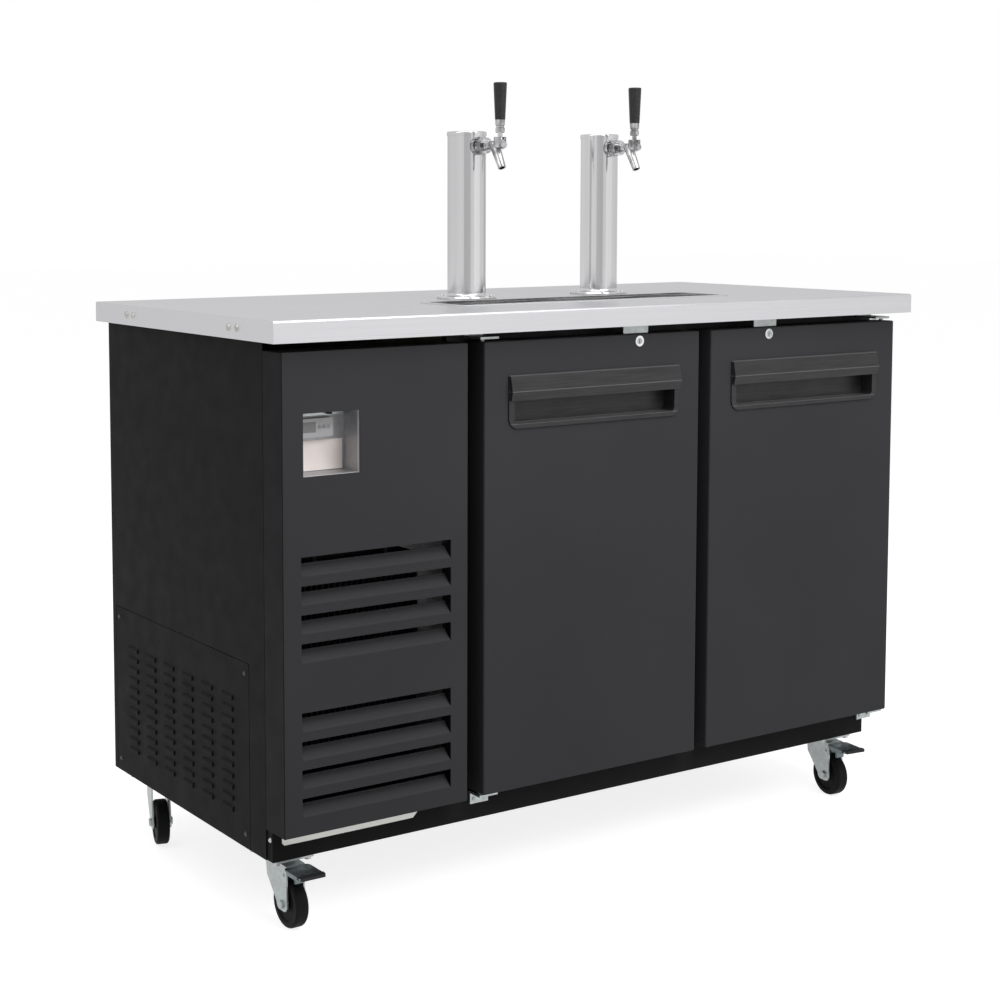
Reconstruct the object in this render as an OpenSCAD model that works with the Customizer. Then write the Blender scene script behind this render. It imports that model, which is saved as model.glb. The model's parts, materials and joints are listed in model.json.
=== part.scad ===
// Two-tap keg cooler: insulated cabinet on casters, two doors, a machine compartment behind
// a louvred panel, a stainless countertop with a drip tray, and two draught columns.
// Millimetres. +X is right as seen from the front, the front faces -Y, +Z is up.
// The origin is on the floor, under the middle of the countertop.

/* [Countertop] */
// Width of the countertop
top_w = 1500; // [1400:10:1700]
// Depth of the countertop, front to back
top_d = 711; // [680:1:780]
// Thickness of the countertop's edge
top_t = 38; // [36:1:55]
// Height of the countertop's surface above the floor
top_h = 1055; // [1000:5:1120]
// Thickness of the stainless sheet over the core
top_sheet = 2; // [1.5:0.5:3]

/* [Cabinet] */
// Overhang of the countertop past each side
side_overhang = 26; // [15:1:40]
// Set-back of the door fronts behind the countertop's front edge
front_setback = 22; // [18:1:30]
// Height of the base above the floor, which the casters fill
caster_h = 125; // [120:1:140]
// Height of the base pan
base_h = 55; // [50:1:70]
// Set-back of the base behind the door fronts
base_setback = 46; // [42:1:56]
// Inset of the base at its right end
base_right_inset = 20; // [5:1:30]
// Thickness of an insulated wall, skins included
wall_t = 50; // [44:1:60]
// Thickness of the insulated ceiling under the countertop
ceiling_t = 40; // [34:1:50]
// Thickness of a sheet-metal skin
skin = 2; // [1.5:0.5:2.5]
// Thickness of the compartment's floor plate
floor_t = 3; // [2:0.5:5]
// Depth of the door frame, front to back
frame_d = 40; // [30:1:50]

/* [Front panel] */
// Width of the louvred panel over the machine compartment
panel_w = 374; // [350:1:400]
// Width of a louvre
louvre_w = 303; // [240:1:310]
// Height of a louvre's opening
louvre_h = 32; // [26:1:36]
// Distance between two louvres of a group
louvre_pitch = 49; // [44:1:54]
// Louvres in a group
louvre_count = 4; // [3:1:4]
// Distance between the two groups of louvres
louvre_gap = 86; // [60:1:110]
// Distance from the lowest louvre to the panel's foot
louvre_foot = 32; // [20:1:50]
// How far a louvre's blade leans in at its top
louvre_lean = 17; // [10:1:24]
// Height of the open slit over a louvre's blade
louvre_slit = 13; // [6:1:16]
// Width of the control window
window_w = 110; // [90:1:130]
// Height of the control window
window_h = 106; // [80:1:120]
// Distance from the panel's left edge to the window
window_inset = 41; // [30:1:60]
// Distance from the panel's top to the window
window_drop = 103; // [90:1:130]
// Depth of the control recess
recess_d = 53; // [36:1:54]

/* [Doors] */
// Thickness of a door without its gasket
door_t = 52; // [46:1:60]
// Thickness of the gasket
gasket_t = 12; // [10:1:16]
// Width of the gasket
gasket_w = 18; // [14:1:22]
// Gap between the panel and the left door
panel_gap = 36; // [30:1:44]
// Gap between the two doors
door_gap = 30; // [20:1:40]
// Gap between a door's top and the countertop
door_top_gap = 17; // [12:1:22]
// Gap between a door's bottom and the base
door_bottom_gap = 2; // [1:0.5:6]
// Width of a recessed handle
handle_w = 400; // [300:1:420]
// Height of a recessed handle
handle_h = 97; // [90:1:120]
// Distance from a door's top to its handle
handle_drop = 61; // [52:1:90]
// Depth of the handle's cup behind the door's face
cup_d = 30; // [24:1:34]
// Distance from a door's free edge to its lock
lock_inset = 150; // [100:1:180]
// Distance from a door's top to its lock's axis
lock_drop = 13; // [12:0.5:20]
// Diameter of the lock's face
lock_d = 20; // [18:1:22]

/* [Draught columns] */
// Diameter of a column
column_d = 76.2; // [70:0.1:90]
// Wall of a column
column_wall = 2; // [1.5:0.5:3]
// Height of a column over the countertop
column_h = 330; // [280:1:400]
// Middle of the pair of columns, right of the countertop's middle
column_mid = 67.5; // [0:0.5:80]
// Distance between the two columns
column_pitch = 335; // [300:1:380]
// How far the columns stand behind the countertop's middle
column_back = 26; // [15:1:80]
// Diameter of a column's foot flange
flange_d = 118; // [108:1:130]
// Distance from a column's top to the tap's axis
tap_drop = 30; // [28:1:45]
// Distance from a column's axis to the tap lever
tap_reach = 111; // [106:1:130]
// Length of the black tap handle
tap_handle_l = 71; // [60:1:90]

/* [Drip tray] */
// Length of the drip tray's rim
tray_l = 670; // [500:1:700]
// Depth of the drip tray's rim, front to back
tray_w = 150; // [130:1:160]
// Depth of the drip pan
tray_d = 24; // [18:1:28]
// Distance from the countertop's middle to the middle of the tray, towards the front
tray_front = 119; // [112:1:140]
// Slots along the drip grille
grille_slots = 30; // [20:1:36]

/* [Casters] */
// Diameter of a wheel
wheel_d = 86; // [80:1:90]
// Width of a wheel
wheel_w = 28; // [22:1:32]
// Trail of the wheel behind the swivel
caster_trail = 36; // [30:1:40]
// Inset of the left casters from the base's end
caster_in_left = 44; // [42:1:90]
// Inset of the right casters from the base's end
caster_in_right = 70; // [42:1:90]
// Inset of the front casters from the base's front
caster_in_front = 52; // [50:1:80]
// Inset of the rear casters from the back
caster_in_back = 97; // [80:1:150]
// Angle at which the right front caster stands
right_swivel = -7; // [-20:1:20]
// Angle at which the rear casters stand
rear_swivel = -17; // [-40:1:40]

/* [Machine compartment] */
// Diameter of the compressor
compressor_d = 180; // [150:1:190]
// Height of the compressor's shell
compressor_h = 215; // [180:1:230]
// Diameter of the condenser's fan
fan_d = 250; // [200:1:264]
// Diameter of the evaporator's fan
evap_fan_d = 150; // [120:1:170]
// Outside diameter of the refrigerant lines
line_d = 10; // [8:1:12]

/* [Fits] */
// Clearance between sheets and panels that lie side by side
sheet_gap = 0.5; // [0.3:0.1:1]
// Radial clearance of a pin or a shaft in its bore
run_fit = 0.05; // [0.03:0.01:0.1]
// End clearance of a piece that turns or slides
end_fit = 0.3; // [0.2:0.1:0.6]

/* [Hidden] */
$fn = 48;
eps = 0.01;

// Main planes of the cabinet
bx = top_w / 2 - side_overhang;
yf = -top_d / 2 + front_setback;
yb = top_d / 2;
zb = caster_h;
zf = caster_h + base_h;
zt = top_h - top_t;
frame_y = yf + door_t + gasket_t + sheet_gap;
base_y = yf + base_setback;
base_x0 = -bx + skin + sheet_gap;
base_x1 = bx - base_right_inset;

// Keg compartment
part_x = -bx + panel_w;
bay_x0 = part_x + wall_t;
bay_x1 = bx - wall_t;
bay_y0 = frame_y + frame_d;
bay_y1 = yb - wall_t;
bay_z0 = zf + floor_t;
bay_z1 = zt - ceiling_t;

// Doors
door_w = (2 * bx - panel_w - panel_gap - door_gap) / 2;
door_z0 = zf + door_bottom_gap;
door_z1 = zt - door_top_gap;
door_h = door_z1 - door_z0;
left_x = part_x + panel_gap;
right_x = bx - door_w;
door_skin = 1.5;
gasket_in = 12;
seal_land = gasket_in + gasket_w + 4;
mullion_w = door_gap + 2 * seal_land;
hinge_in = 12;
hinge_back = 24;
hinge_pin_d = 8;
hinge_pin_l = 18;
bracket_t = 4;
bracket_w = 40;
collar_d = 16;

// Recessed handles
cup_wall = 2.5;
bezel_w = 12;
bezel_t = 3;
lip_h = 44;
lip_out = 12;

// Locks
plug_d = 12;
barrel_d = 16;
cam_slot_y = yf + 12.5;
cam_slot_w = 5.5;
cam_t = 2.5;
cam_l = 20;
cam_w = 10;
strike_w = 60;
strike_t = 2;

// Draught columns
column_xs = [column_mid - column_pitch / 2, column_mid + column_pitch / 2];
column_y = column_back;
cap_h = 10;
cap_rim = 1.2;
tap_z = top_h + column_h - tap_drop;
line_hole_d = 50;
shank_d = 22;
collar_out_d = 36;
collar_l = 8;
nut_d = 31;
nut_l = 20;
barrel_out_d = 17;
shaft_d = 10.8;
shaft_slack = 0.1;
pivot_up = 10;
ball_d = 13;
pivot_pin_d = 4;
pivot_pin_l = 18;
ball_fit = 0.3;
lever_d = 9;
tail_d = 5;
ferrule_z = 23;
ferrule_d = 18;
handle_z = 48;

// Drip tray
rim_t = 1.6;
rim_w = 13;
pan_wall = 1.2;
grille_t = 4;
tray_well = 3;

// Casters
plate_l = 80;
plate_w = 100;
plate_t = 4;
race_d = 48;
race_t = 7;
kingpin_d = 12;
fork_t = 3;
fork_gap = 1.5;
axle_d = 10;
pedal_pivot_d = 6;
caster_x0 = base_x0 + caster_in_left;
caster_x1 = base_x1 - caster_in_right;
caster_y0 = base_y + caster_in_front;
caster_y1 = yb - caster_in_back;

// Machine compartment
machine_x = (-bx + part_x) / 2;
coil_w = panel_w - 54;
coil_d = 60;
coil_y = frame_y + 55;
coil_rise = 490;
coil_z1 = zb + coil_rise;
coil_foot = 20;
shroud_d = 44;
fan_rise = 265;
fan_z = zb + fan_rise;
port_dy = coil_d / 2 + 1;
tube_in = 32;
tube_pitch = 66;
fan_hub_d = 46;
fan_shaft_d = 8;
compressor_y = yb - 185;
stub_dx = 40;
stub_h = 18;
outlet_dx = 110;
drain_w = 260;
drain_h = 42;
drain_t = 3;
drain_gap = 14;

// Evaporator
evap_d = 92;
evap_w = 380;
evap_h = 300;
evap_in = 25;
evap_drop = 12;
evap_y = bay_y1 - evap_w / 2 - evap_in;
evap_z = bay_z1 - evap_h / 2 - evap_drop;
evap_hub_d = 34;
evap_hub_l = 26;
evap_fan_in = 34;
fin_in = 16;

// Helpers
// A block between two corners
module block(low, high) {
    translate(low)
        cube(high - low);
}

// A flat outline with round corners, centred
module round_rect(w, h, r) {
    square([w - 2 * r, h], center = true);
    square([w, h - 2 * r], center = true);
    for (sx = [-1, 1], sy = [-1, 1])
        translate([sx * (w / 2 - r), sy * (h / 2 - r)])
            circle(r);
}

// A cylinder along Y from y0 to y1
module bar_y(x, z, d, y0, y1) {
    translate([x, y0, z])
        rotate([-90, 0, 0])
            cylinder(h = y1 - y0, d = d);
}

// A cylinder along X from x0 to x1
module bar_x(y, z, d, x0, x1) {
    translate([x0, y, z])
        rotate([0, 90, 0])
            cylinder(h = x1 - x0, d = d);
}

// A pan of sheet metal, open at the back
module pan(low, high, t) {
    difference() {
        block(low, high);
        block(low + [t, t, t], high + [-t, t, -t]);
    }
}

// A round pipe through a list of corners
module pipe(points, d) {
    for (i = [0 : len(points) - 2]) {
        leg = points[i + 1] - points[i];
        translate(points[i])
            rotate([0, acos(leg[2] / norm(leg)), atan2(leg[1], leg[0])])
                cylinder(h = norm(leg), d = d, $fn = 24);
    }
    for (i = [1 : len(points) - 2])
        translate(points[i])
            sphere(d = d, $fn = 24);
}

// Cabinet shell
// Sheet-metal base pan that the casters carry
module base_frame() {
    color("#232325")
    difference() {
        block([base_x0, base_y, zb], [base_x1, yb - skin - sheet_gap, zf]);
        block([base_x0 + skin, base_y + skin, zb + skin],
            [base_x1 - skin, yb - 2 * skin - sheet_gap, zf + skin]);
    }
}

// Outer side skins; the left one leaves room for the vent cover
vent_y0 = frame_y + 57;
vent_y1 = yb - 16;
vent_z1 = zf + 275;
module side_panels() {
    color("#2b2b2d") {
        difference() {
            block([-bx, frame_y + sheet_gap, zb], [-bx + skin, yb, zt]);
            block([-bx - skin, vent_y0, zb - skin], [-bx + 2 * skin, vent_y1, vent_z1]);
        }
        block([bx - skin, frame_y + sheet_gap, zf + sheet_gap], [bx, yb, zt]);
    }
}

// Lower left cover with rows of pressed air slots
slot_rows = 11;
slot_columns = 6;
slot_l = 36;
slot_h = 5;
slot_pitch_z = 20;
vent_in = 80;
vent_foot = 55;
module side_vent_cover() {
    pitch_y = (vent_y1 - vent_y0 - 2 * vent_in) / (slot_columns - 1);
    color("#262628")
    difference() {
        block([-bx, vent_y0 + 1, zb], [-bx + skin, vent_y1 - 1, vent_z1 - 1]);
        for (i = [0 : slot_columns - 1], j = [0 : slot_rows - 1])
            translate([-bx - skin, vent_y0 + vent_in + i * pitch_y, zb + vent_foot + j * slot_pitch_z])
                rotate([90, 0, 90])
                    linear_extrude(3 * skin)
                        round_rect(slot_l, slot_h, 2.4, $fn = 16);
    }
}

// Back skin with an air grille behind the machine compartment
module back_panel() {
    color("#2b2b2d")
    difference() {
        block([-bx + skin + sheet_gap, yb - skin, zb + skin], [bx - skin - sheet_gap, yb, zt]);
        for (j = [0 : 13])
            block([machine_x - 120, yb - 2 * skin, zf + 90 + j * 22],
                [machine_x + 120, yb + skin, zf + 97 + j * 22]);
    }
}

// Foam between the skins and the liner
module insulation() {
    color("#d9cf9f")
    difference() {
        union() {
            block([part_x + skin, bay_y0, zf + eps], [bay_x0 - skin, yb - skin, zt]);
            block([bay_x1 + skin, bay_y0, zf + eps], [bx - skin, yb - skin, zt]);
            block([bay_x0 - skin - eps, bay_y1 + skin, zf + eps], [bay_x1 + skin + eps, yb - skin, zt]);
            block([bay_x0 - skin - eps, bay_y0, bay_z1 + skin], [bay_x1 + skin + eps, yb - skin, zt]);
        }
        line_holes(bay_z1, zt);
    }
    color("#d9cf9f")
        block([part_x + skin, base_y + skin, zb + skin],
            [base_x1 - skin, yb - 2 * skin - sheet_gap, zf]);
}

// Holes that let the beer lines up into the columns
module line_holes(z0, z1) {
    for (x = column_xs)
        translate([x, column_y, z0 - 5])
            cylinder(h = z1 - z0 + 10, d = line_hole_d);
}

// Inner lining of the keg compartment and the skin of its partition
module liner_panels() {
    g = sheet_gap;
    color("#c9ccce") {
        block([bay_x0 - skin, bay_y0, zf + eps], [bay_x1 + skin, bay_y1 + skin, bay_z0]);
        block([bay_x0 - skin, bay_y0, bay_z0 + g], [bay_x0, bay_y1 + skin, bay_z1 - g]);
        block([bay_x1, bay_y0, bay_z0 + g], [bay_x1 + skin, bay_y1 + skin, bay_z1 - g]);
        block([bay_x0 + g, bay_y1, bay_z0 + g], [bay_x1 - g, bay_y1 + skin, bay_z1 - g]);
        difference() {
            block([bay_x0 - skin, bay_y0, bay_z1], [bay_x1 + skin, bay_y1 + skin, bay_z1 + skin]);
            line_holes(bay_z1, bay_z1 + skin);
        }
        block([part_x, frame_y, zf + eps], [part_x + skin, yb - skin, zt]);
    }
}

// Frame that the doors close on: two rails and three posts
mullion_x = (left_x + door_w + right_x) / 2;
sill_h = door_bottom_gap + seal_land;
head_h = door_top_gap + seal_land;
module door_frame() {
    g = sheet_gap;
    x0 = part_x + skin + g;
    x1 = bx - skin - g;
    y1 = bay_y0 - g;
    color("#1d1d1f") {
        block([x0, frame_y, zf + g], [x1, y1, zf + sill_h]);
        block([x0, frame_y, zt - head_h], [x1, y1, zt]);
        block([x0, frame_y, zf + sill_h + g], [left_x + seal_land, y1, zt - head_h - g]);
        block([bay_x1, frame_y, zf + sill_h + g], [x1, y1, zt - head_h - g]);
        block([mullion_x - mullion_w / 2, frame_y, zf + sill_h + g],
            [mullion_x + mullion_w / 2, y1, zt - head_h - g]);
    }
}

// Countertop
// Opening of the drip pan, cut from the sheet and the core
module tray_cut(z0, z1, slack) {
    w = tray_l - 2 * rim_w + 2 * slack;
    d = tray_w - 2 * rim_w + 2 * slack;
    translate([column_mid, -tray_front, z0])
        linear_extrude(z1 - z0)
            round_rect(w, d, 14 + slack);
}

// Stainless sheet with folded edges and rounded upper corners
edge_r = 5;
module top_solid(inset, z0) {
    w = top_w / 2 - inset;
    d = top_d / 2 - inset;
    z1 = top_h - inset;
    r = edge_r - inset;
    difference() {
        block([-w, -d, z0], [w, d, z1]);
        for (m = [0, 1])
            mirror([0, m, 0])
                translate([-w - 1, -d, z1 - r])
                    rotate([90, 0, 90])
                        linear_extrude(2 * w + 2)
                            corner_cut(r);
    }
}

// What rounding an edge takes away
module corner_cut(r) {
    difference() {
        translate([-1, 0])
            square([r + 1, r + 1]);
        translate([r, 0])
            circle(r);
        translate([r, -r])
            square(2 * r);
    }
}

module countertop() {
    color("#d4d4d6")
    difference() {
        top_solid(0, zt);
        top_solid(top_sheet, zt - 1);
        tray_cut(zt, top_h + 1, sheet_gap);
        line_holes(zt, top_h);
    }
}

module countertop_core() {
    color("#b89a6a")
    difference() {
        block([-top_w / 2 + top_sheet, -top_d / 2 + edge_r, zt],
            [top_w / 2 - top_sheet, top_d / 2 - edge_r, top_h - top_sheet]);
        tray_cut(top_h - tray_d - tray_well, top_h + 1, tray_well);
        line_holes(zt, top_h);
    }
}

// Lift-out pan with a flat rim
module drip_tray() {
    w = tray_l - 2 * rim_w;
    d = tray_w - 2 * rim_w;
    color("#c4c6c8")
    translate([column_mid, -tray_front, top_h])
    difference() {
        union() {
            linear_extrude(rim_t)
                round_rect(tray_l, tray_w, 20);
            translate([0, 0, -tray_d])
                linear_extrude(tray_d + eps)
                    round_rect(w, d, 14);
        }
        translate([0, 0, -tray_d + pan_wall])
            linear_extrude(tray_d + rim_t)
                round_rect(w - 2 * pan_wall, d - 2 * pan_wall, 14 - pan_wall);
    }
}

// Slotted grille that lies in the pan on two runners
module drip_grille() {
    w = tray_l - 2 * rim_w - 2 * pan_wall - 2;
    d = tray_w - 2 * rim_w - 2 * pan_wall - 2;
    pitch = (w - 36) / grille_slots;
    runner_h = tray_d - pan_wall - grille_t - end_fit + rim_t;
    color("#9fa1a4")
    translate([column_mid, -tray_front, top_h + rim_t - grille_t]) {
        difference() {
            linear_extrude(grille_t)
                round_rect(w, d, 12);
            for (i = [0 : grille_slots - 1], s = [-1, 1])
                translate([(i + 0.5) * pitch - grille_slots * pitch / 2, s * d / 4, -1])
                    linear_extrude(grille_t + 2)
                        round_rect(pitch * 0.55, d / 2 - 16, pitch * 0.27, $fn = 16);
        }
        for (s = [-1, 1])
            block([s * (w / 2 - 12) - 2, -d / 2 + 14, -runner_h], [s * (w / 2 - 12) + 2, d / 2 - 14, eps]);
    }
}

// Front panel
panel_z0 = zf;
panel_z1 = door_z1;
louvre_x0 = (-bx + part_x) / 2 - louvre_w / 2;
window_x0 = -bx + window_inset;
window_z1 = panel_z1 - window_drop;

// Upper edges of all louvres
group_h = louvre_h + (louvre_count - 1) * louvre_pitch;
group_z = panel_z0 + louvre_foot + group_h;
louvre_tops = [for (z1 = [group_z + louvre_gap + group_h, group_z], i = [0 : louvre_count - 1])
    z1 - i * louvre_pitch];

// One blade, flush with the panel at its foot and leaning in to the slit over it
module louvre_blade(z1) {
    h = louvre_h - louvre_slit;
    translate([louvre_x0 + 1, yf, z1 - louvre_h])
        rotate([90, 0, 90])
            linear_extrude(louvre_w - 2)
                polygon([[0, -skin], [skin, -skin], [louvre_lean + skin, h - 3], [louvre_lean + skin, h],
                    [louvre_lean, h], [louvre_lean, h - 2.4], [0, 0]]);
}

// Louvred cover with folded flanks
module front_grille_panel() {
    color("#3c3c3f")
    difference() {
        union() {
            difference() {
                pan([-bx, yf, panel_z0], [part_x, frame_y, panel_z1], skin);
                for (z1 = louvre_tops)
                    block([louvre_x0, yf - 1, z1 - louvre_h], [louvre_x0 + louvre_w, yf + skin + 1, z1]);
            }
            for (z1 = louvre_tops)
                louvre_blade(z1);
        }
        block([window_x0, yf - 1, window_z1 - window_h],
            [window_x0 + window_w, yf + skin + 1, window_z1]);
    }
}

// Open box behind the window that holds the control
recess_wall = 1.5;
module control_recess() {
    x1 = window_x0 + window_w;
    z0 = window_z1 - window_h;
    y0 = yf + skin;
    w = recess_wall;
    color("#8c8a8d")
    difference() {
        block([window_x0 - w, y0, z0 - w], [x1 + w, y0 + recess_d, window_z1 + w]);
        block([window_x0, y0 - 1, z0], [x1, y0 + recess_d - w, window_z1]);
    }
}

// Temperature control on the recess's back wall
control_w = 74;
control_h = 32;
control_t = 16;
module thermostat() {
    x0 = window_x0 + 6;
    z1 = window_z1 - 14;
    y1 = yf + skin + recess_d - recess_wall;
    color("#98989a")
    difference() {
        translate([x0 + control_w / 2, y1, z1 - control_h / 2])
            rotate([90, 0, 0])
                linear_extrude(control_t)
                    round_rect(control_w, control_h, 3);
        block([x0 + 6, y1 - control_t - 1, z1 - 24], [x0 + 40, y1 - control_t + 1, z1 - 6]);
    }
}

// Length and height of the bare strip
strip_in = 20;
strip_l = 277;
strip_h = 28;
strip_cut = 5;

// Bare-metal bracket on the base that the panel's foot rests behind
module panel_bracket() {
    x0 = -bx + strip_in;
    x1 = x0 + strip_l;
    cut = strip_cut;
    z0 = zf - strip_h;
    color("#a5a59e")
    translate([0, base_y, 0])
        rotate([90, 0, 0])
            linear_extrude(1.5)
                polygon([[x0 + cut, z0], [x1 - 2 * cut, z0], [x1, z0 + 2 * cut], [x1, zf], [x0, zf],
                    [x0, z0 + cut]]);
}

// Strike plates that hang under the countertop, in front of the lock cams
module strike_plates() {
    color("#c2bfb8")
    for (x = [left_x + door_w - lock_inset, right_x + lock_inset])
        union() {
            block([x - strike_w / 2, cam_slot_y - strike_t - 1, door_z1 + 1],
                [x + strike_w / 2, cam_slot_y - 1, zt]);
            block([x - strike_w / 2, cam_slot_y - 1 - eps, zt - strike_t],
                [x + strike_w / 2, frame_y - sheet_gap, zt]);
        }
}

// Hinges: a bracket with its pin at the top and bottom of each door's outer edge
hinge_xs = [left_x + hinge_in, right_x + door_w - hinge_in];
hinge_y = yf + hinge_back;
module hinge_brackets() {
    low_z = door_z0 - 3;
    high_z = door_z1 + 4;
    color("#b4b6b4")
    for (i = [0, 1])
        translate([hinge_xs[i], 0, 0])
            mirror([i, 0, 0]) {
                union() {
                    block([-hinge_in, hinge_y - 12, low_z - bracket_t], [bracket_w - hinge_in, base_y, low_z]);
                    block([-hinge_in, base_y - bracket_t, low_z - 24], [bracket_w - hinge_in, base_y, low_z]);
                    translate([0, hinge_y, low_z - eps])
                        cylinder(h = hinge_pin_l + 3, d = hinge_pin_d);
                    translate([0, hinge_y, low_z - eps])
                        cylinder(h = 3 - end_fit, d = collar_d);
                }
                union() {
                    block([-hinge_in, hinge_y - 12, high_z],
                        [bracket_w - hinge_in, frame_y, high_z + bracket_t]);
                    block([-hinge_in, frame_y - 3, high_z], [bracket_w - hinge_in, frame_y, zt]);
                    translate([0, hinge_y, door_z1 - hinge_pin_l])
                        cylinder(h = hinge_pin_l + 5, d = hinge_pin_d);
                }
            }
}

// Screw heads that show on the cabinet, and the pairs of buttons in the countertop's ends
screw_d = 9;
screw_t = 2;
button_d = 14;
button_pitch = 30;
button_ys = [-0.3 * top_d, 0.28 * top_d];
module screw_head(p, turn) {
    translate(p)
        rotate(turn)
            cylinder(h = screw_t, d1 = screw_d, d2 = screw_d * 0.6, $fn = 24);
}

module cabinet_screws() {
    to_left = [0, -90, 0];
    color("#a9adac")
    for (i = [0 : 3], sx = [-1, 1], sy = [-1, 1])
        translate([caster_places[i][0] + sx * (plate_l / 2 - 9), caster_places[i][1] + sy * (plate_w / 2 - 9),
            zb - plate_t - 5])
            cylinder(h = 5, d = 13, $fn = 6);
    color("#b8a79a") {
        screw_head([base_x0, base_y + 9, zb + 38], to_left);
        for (y = button_ys, sx = [-1, 1], sy = [-1, 1])
            translate([sx * top_w / 2, y + sy * button_pitch / 2, zt + top_t / 2])
                rotate([0, sx * 90, 0])
                    cylinder(h = screw_t, d1 = button_d, d2 = button_d - 4, $fn = 24);
    }
    color("#2f2f31")
    for (y = [vent_y0 + 16, vent_y1 - 16], z = [zb + 25, vent_z1 - 20])
        screw_head([-bx, y, z], to_left);
    color("#c8c8ca")
    for (x = column_xs, a = [45 : 90 : 315])
        screw_head([x + flange_pcd / 2 * cos(a), column_y + flange_pcd / 2 * sin(a), top_h + flange_t],
            [0, 0, 0]);
}

// Refrigeration machine
// Hermetic compressor: welded shell on a foot plate, with two line stubs
module compressor() {
    r = compressor_d / 2;
    z0 = zb + skin;
    dome = 46;
    color("#1c1c1e")
    translate([machine_x, compressor_y, z0]) {
        block([-r - 10, -r * 0.72, 14], [r + 10, r * 0.72, 18]);
        for (sx = [-1, 1], sy = [-1, 1])
            translate([sx * (r - 4), sy * r * 0.5, 0])
                cylinder(h = 14 + eps, d = 20);
        translate([0, 0, 18 - eps])
            rotate_extrude()
                polygon(concat([[0, 0], [r - 24, 0], [r - 6, 10], [r, 30], [r, compressor_h / 2 - 3],
                    [r + 4, compressor_h / 2 - 3], [r + 4, compressor_h / 2 + 3], [r, compressor_h / 2 + 3]],
                    [for (a = [0 : 10 : 90]) [(r - 40) + 40 * cos(a), compressor_h - dome + dome * sin(a)]],
                    [[0, compressor_h]]));
        for (s = [-1, 1])
            translate([s * stub_dx, 0, 18 + compressor_h - 4])
                cylinder(h = stub_h + 4, d = line_d + 3);
        block([r - 8, -32, 60], [r + 26, 32, 140]);
    }
}

// Finned condenser behind the louvres, on two foot plates
coil_x0 = machine_x - coil_w / 2;
coil_z0 = zb + skin + coil_foot;
coil_fins = 26;
module condenser_coil() {
    pitch = (coil_w - 8) / coil_fins;
    color("#6f7274")
    translate([coil_x0, coil_y, 0]) {
        for (x = [0, coil_w - 3])
            block([x, 0, zb + skin], [x + 3, coil_d, coil_z1]);
        for (i = [1 : coil_fins - 1])
            block([4 + i * pitch - 0.8, 6, coil_z0], [4 + i * pitch + 0.8, coil_d - 6, coil_z1 - 6]);
        for (j = [0 : 6], k = [0, 1])
            bar_x(coil_d / 3 + k * (coil_d / 3 + 2), coil_z0 + tube_in + j * tube_pitch, line_d,
                -8, coil_w + 8);
    }
    color("#a8683c")
    for (s = [-1, 1])
        translate([machine_x + (s < 0 ? -stub_dx : outlet_dx), coil_y + port_dy,
            coil_z0 + tube_in + 6 * tube_pitch])
            cylinder(h = coil_z1 - coil_z0 - tube_in - 6 * tube_pitch + stub_h, d = line_d + 3);
}

// Fan shroud with its motor on three struts
shroud_y = coil_y + coil_d;
motor_l = 56;
module fan_shroud() {
    ring_in = fan_d + 10;
    y1 = shroud_y + shroud_d;
    color("#4a4c4e")
    difference() {
        union() {
            block([coil_x0, shroud_y, coil_z0], [coil_x0 + coil_w, shroud_y + skin, coil_z1]);
            bar_y(machine_x, fan_z, ring_in + 6, shroud_y, y1);
        }
        bar_y(machine_x, fan_z, ring_in, shroud_y - 1, y1 + 1);
    }
    color("#3a3c3e") {
        for (a = [90, 210, 330])
            translate([machine_x, y1 - 5, fan_z])
                rotate([0, -a, 0])
                    block([18, 0.5, -5], [ring_in / 2 + 1.5, 4, 5]);
        bar_y(machine_x, fan_z, 84, y1 - 5, y1 + motor_l);
        bar_y(machine_x, fan_z, fan_shaft_d, shroud_y + 6, y1);
    }
}

// Fan with twisted blades on a bored hub
module fan_wheel(d, hub_d, hub_l, blades) {
    difference() {
        union() {
            cylinder(h = hub_l, d = hub_d);
            for (i = [0 : blades - 1])
                rotate(i * 360 / blades)
                    intersection() {
                        translate([0, 0, hub_l / 2])
                            rotate([28, 0, 0])
                                translate([0, 0, -1.2])
                                    linear_extrude(2.4)
                                        fan_blade_outline(d / 2, hub_d / 2);
                        cylinder(h = hub_l, d = d);
                    }
        }
        translate([0, 0, -1])
            cylinder(h = hub_l + 2, d = fan_shaft_d + 2 * run_fit);
    }
}

// Outline of one blade, wider towards its tip
module fan_blade_outline(r_tip, r_hub) {
    polygon([[r_hub * 0.8, -r_hub * 0.55], [r_tip * 0.8, -r_tip * 0.36], [r_tip + 4, -r_tip * 0.22],
        [r_tip + 4, r_tip * 0.3], [r_tip * 0.7, r_tip * 0.34], [r_hub * 0.8, r_hub * 0.55]]);
}

module condenser_fan() {
    color("#2a2a2c")
    translate([machine_x, shroud_y + 8, fan_z])
        rotate([-90, 0, 0])
            fan_wheel(fan_d, fan_hub_d, shroud_d - 16, 5);
}

// Pan for the defrost water, between the fan and the compressor
module condensate_pan() {
    x = drain_w / 2;
    y0 = shroud_y + shroud_d + motor_l + drain_gap;
    y1 = compressor_y - compressor_d / 2 - drain_gap;
    z0 = zb + skin;
    color("#26272a")
    difference() {
        block([machine_x - x, y0, z0], [machine_x + x, y1, z0 + drain_h]);
        block([machine_x - x + drain_t, y0 + drain_t, z0 + drain_t],
            [machine_x + x - drain_t, y1 - drain_t, z0 + drain_h + 1]);
    }
}

// Places of the lines and size of the drier
line_rise = 40;
line_in = 100;
line_over = 30;
line_under = 70;
drier_d = 32;
drier_l = 120;

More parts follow.
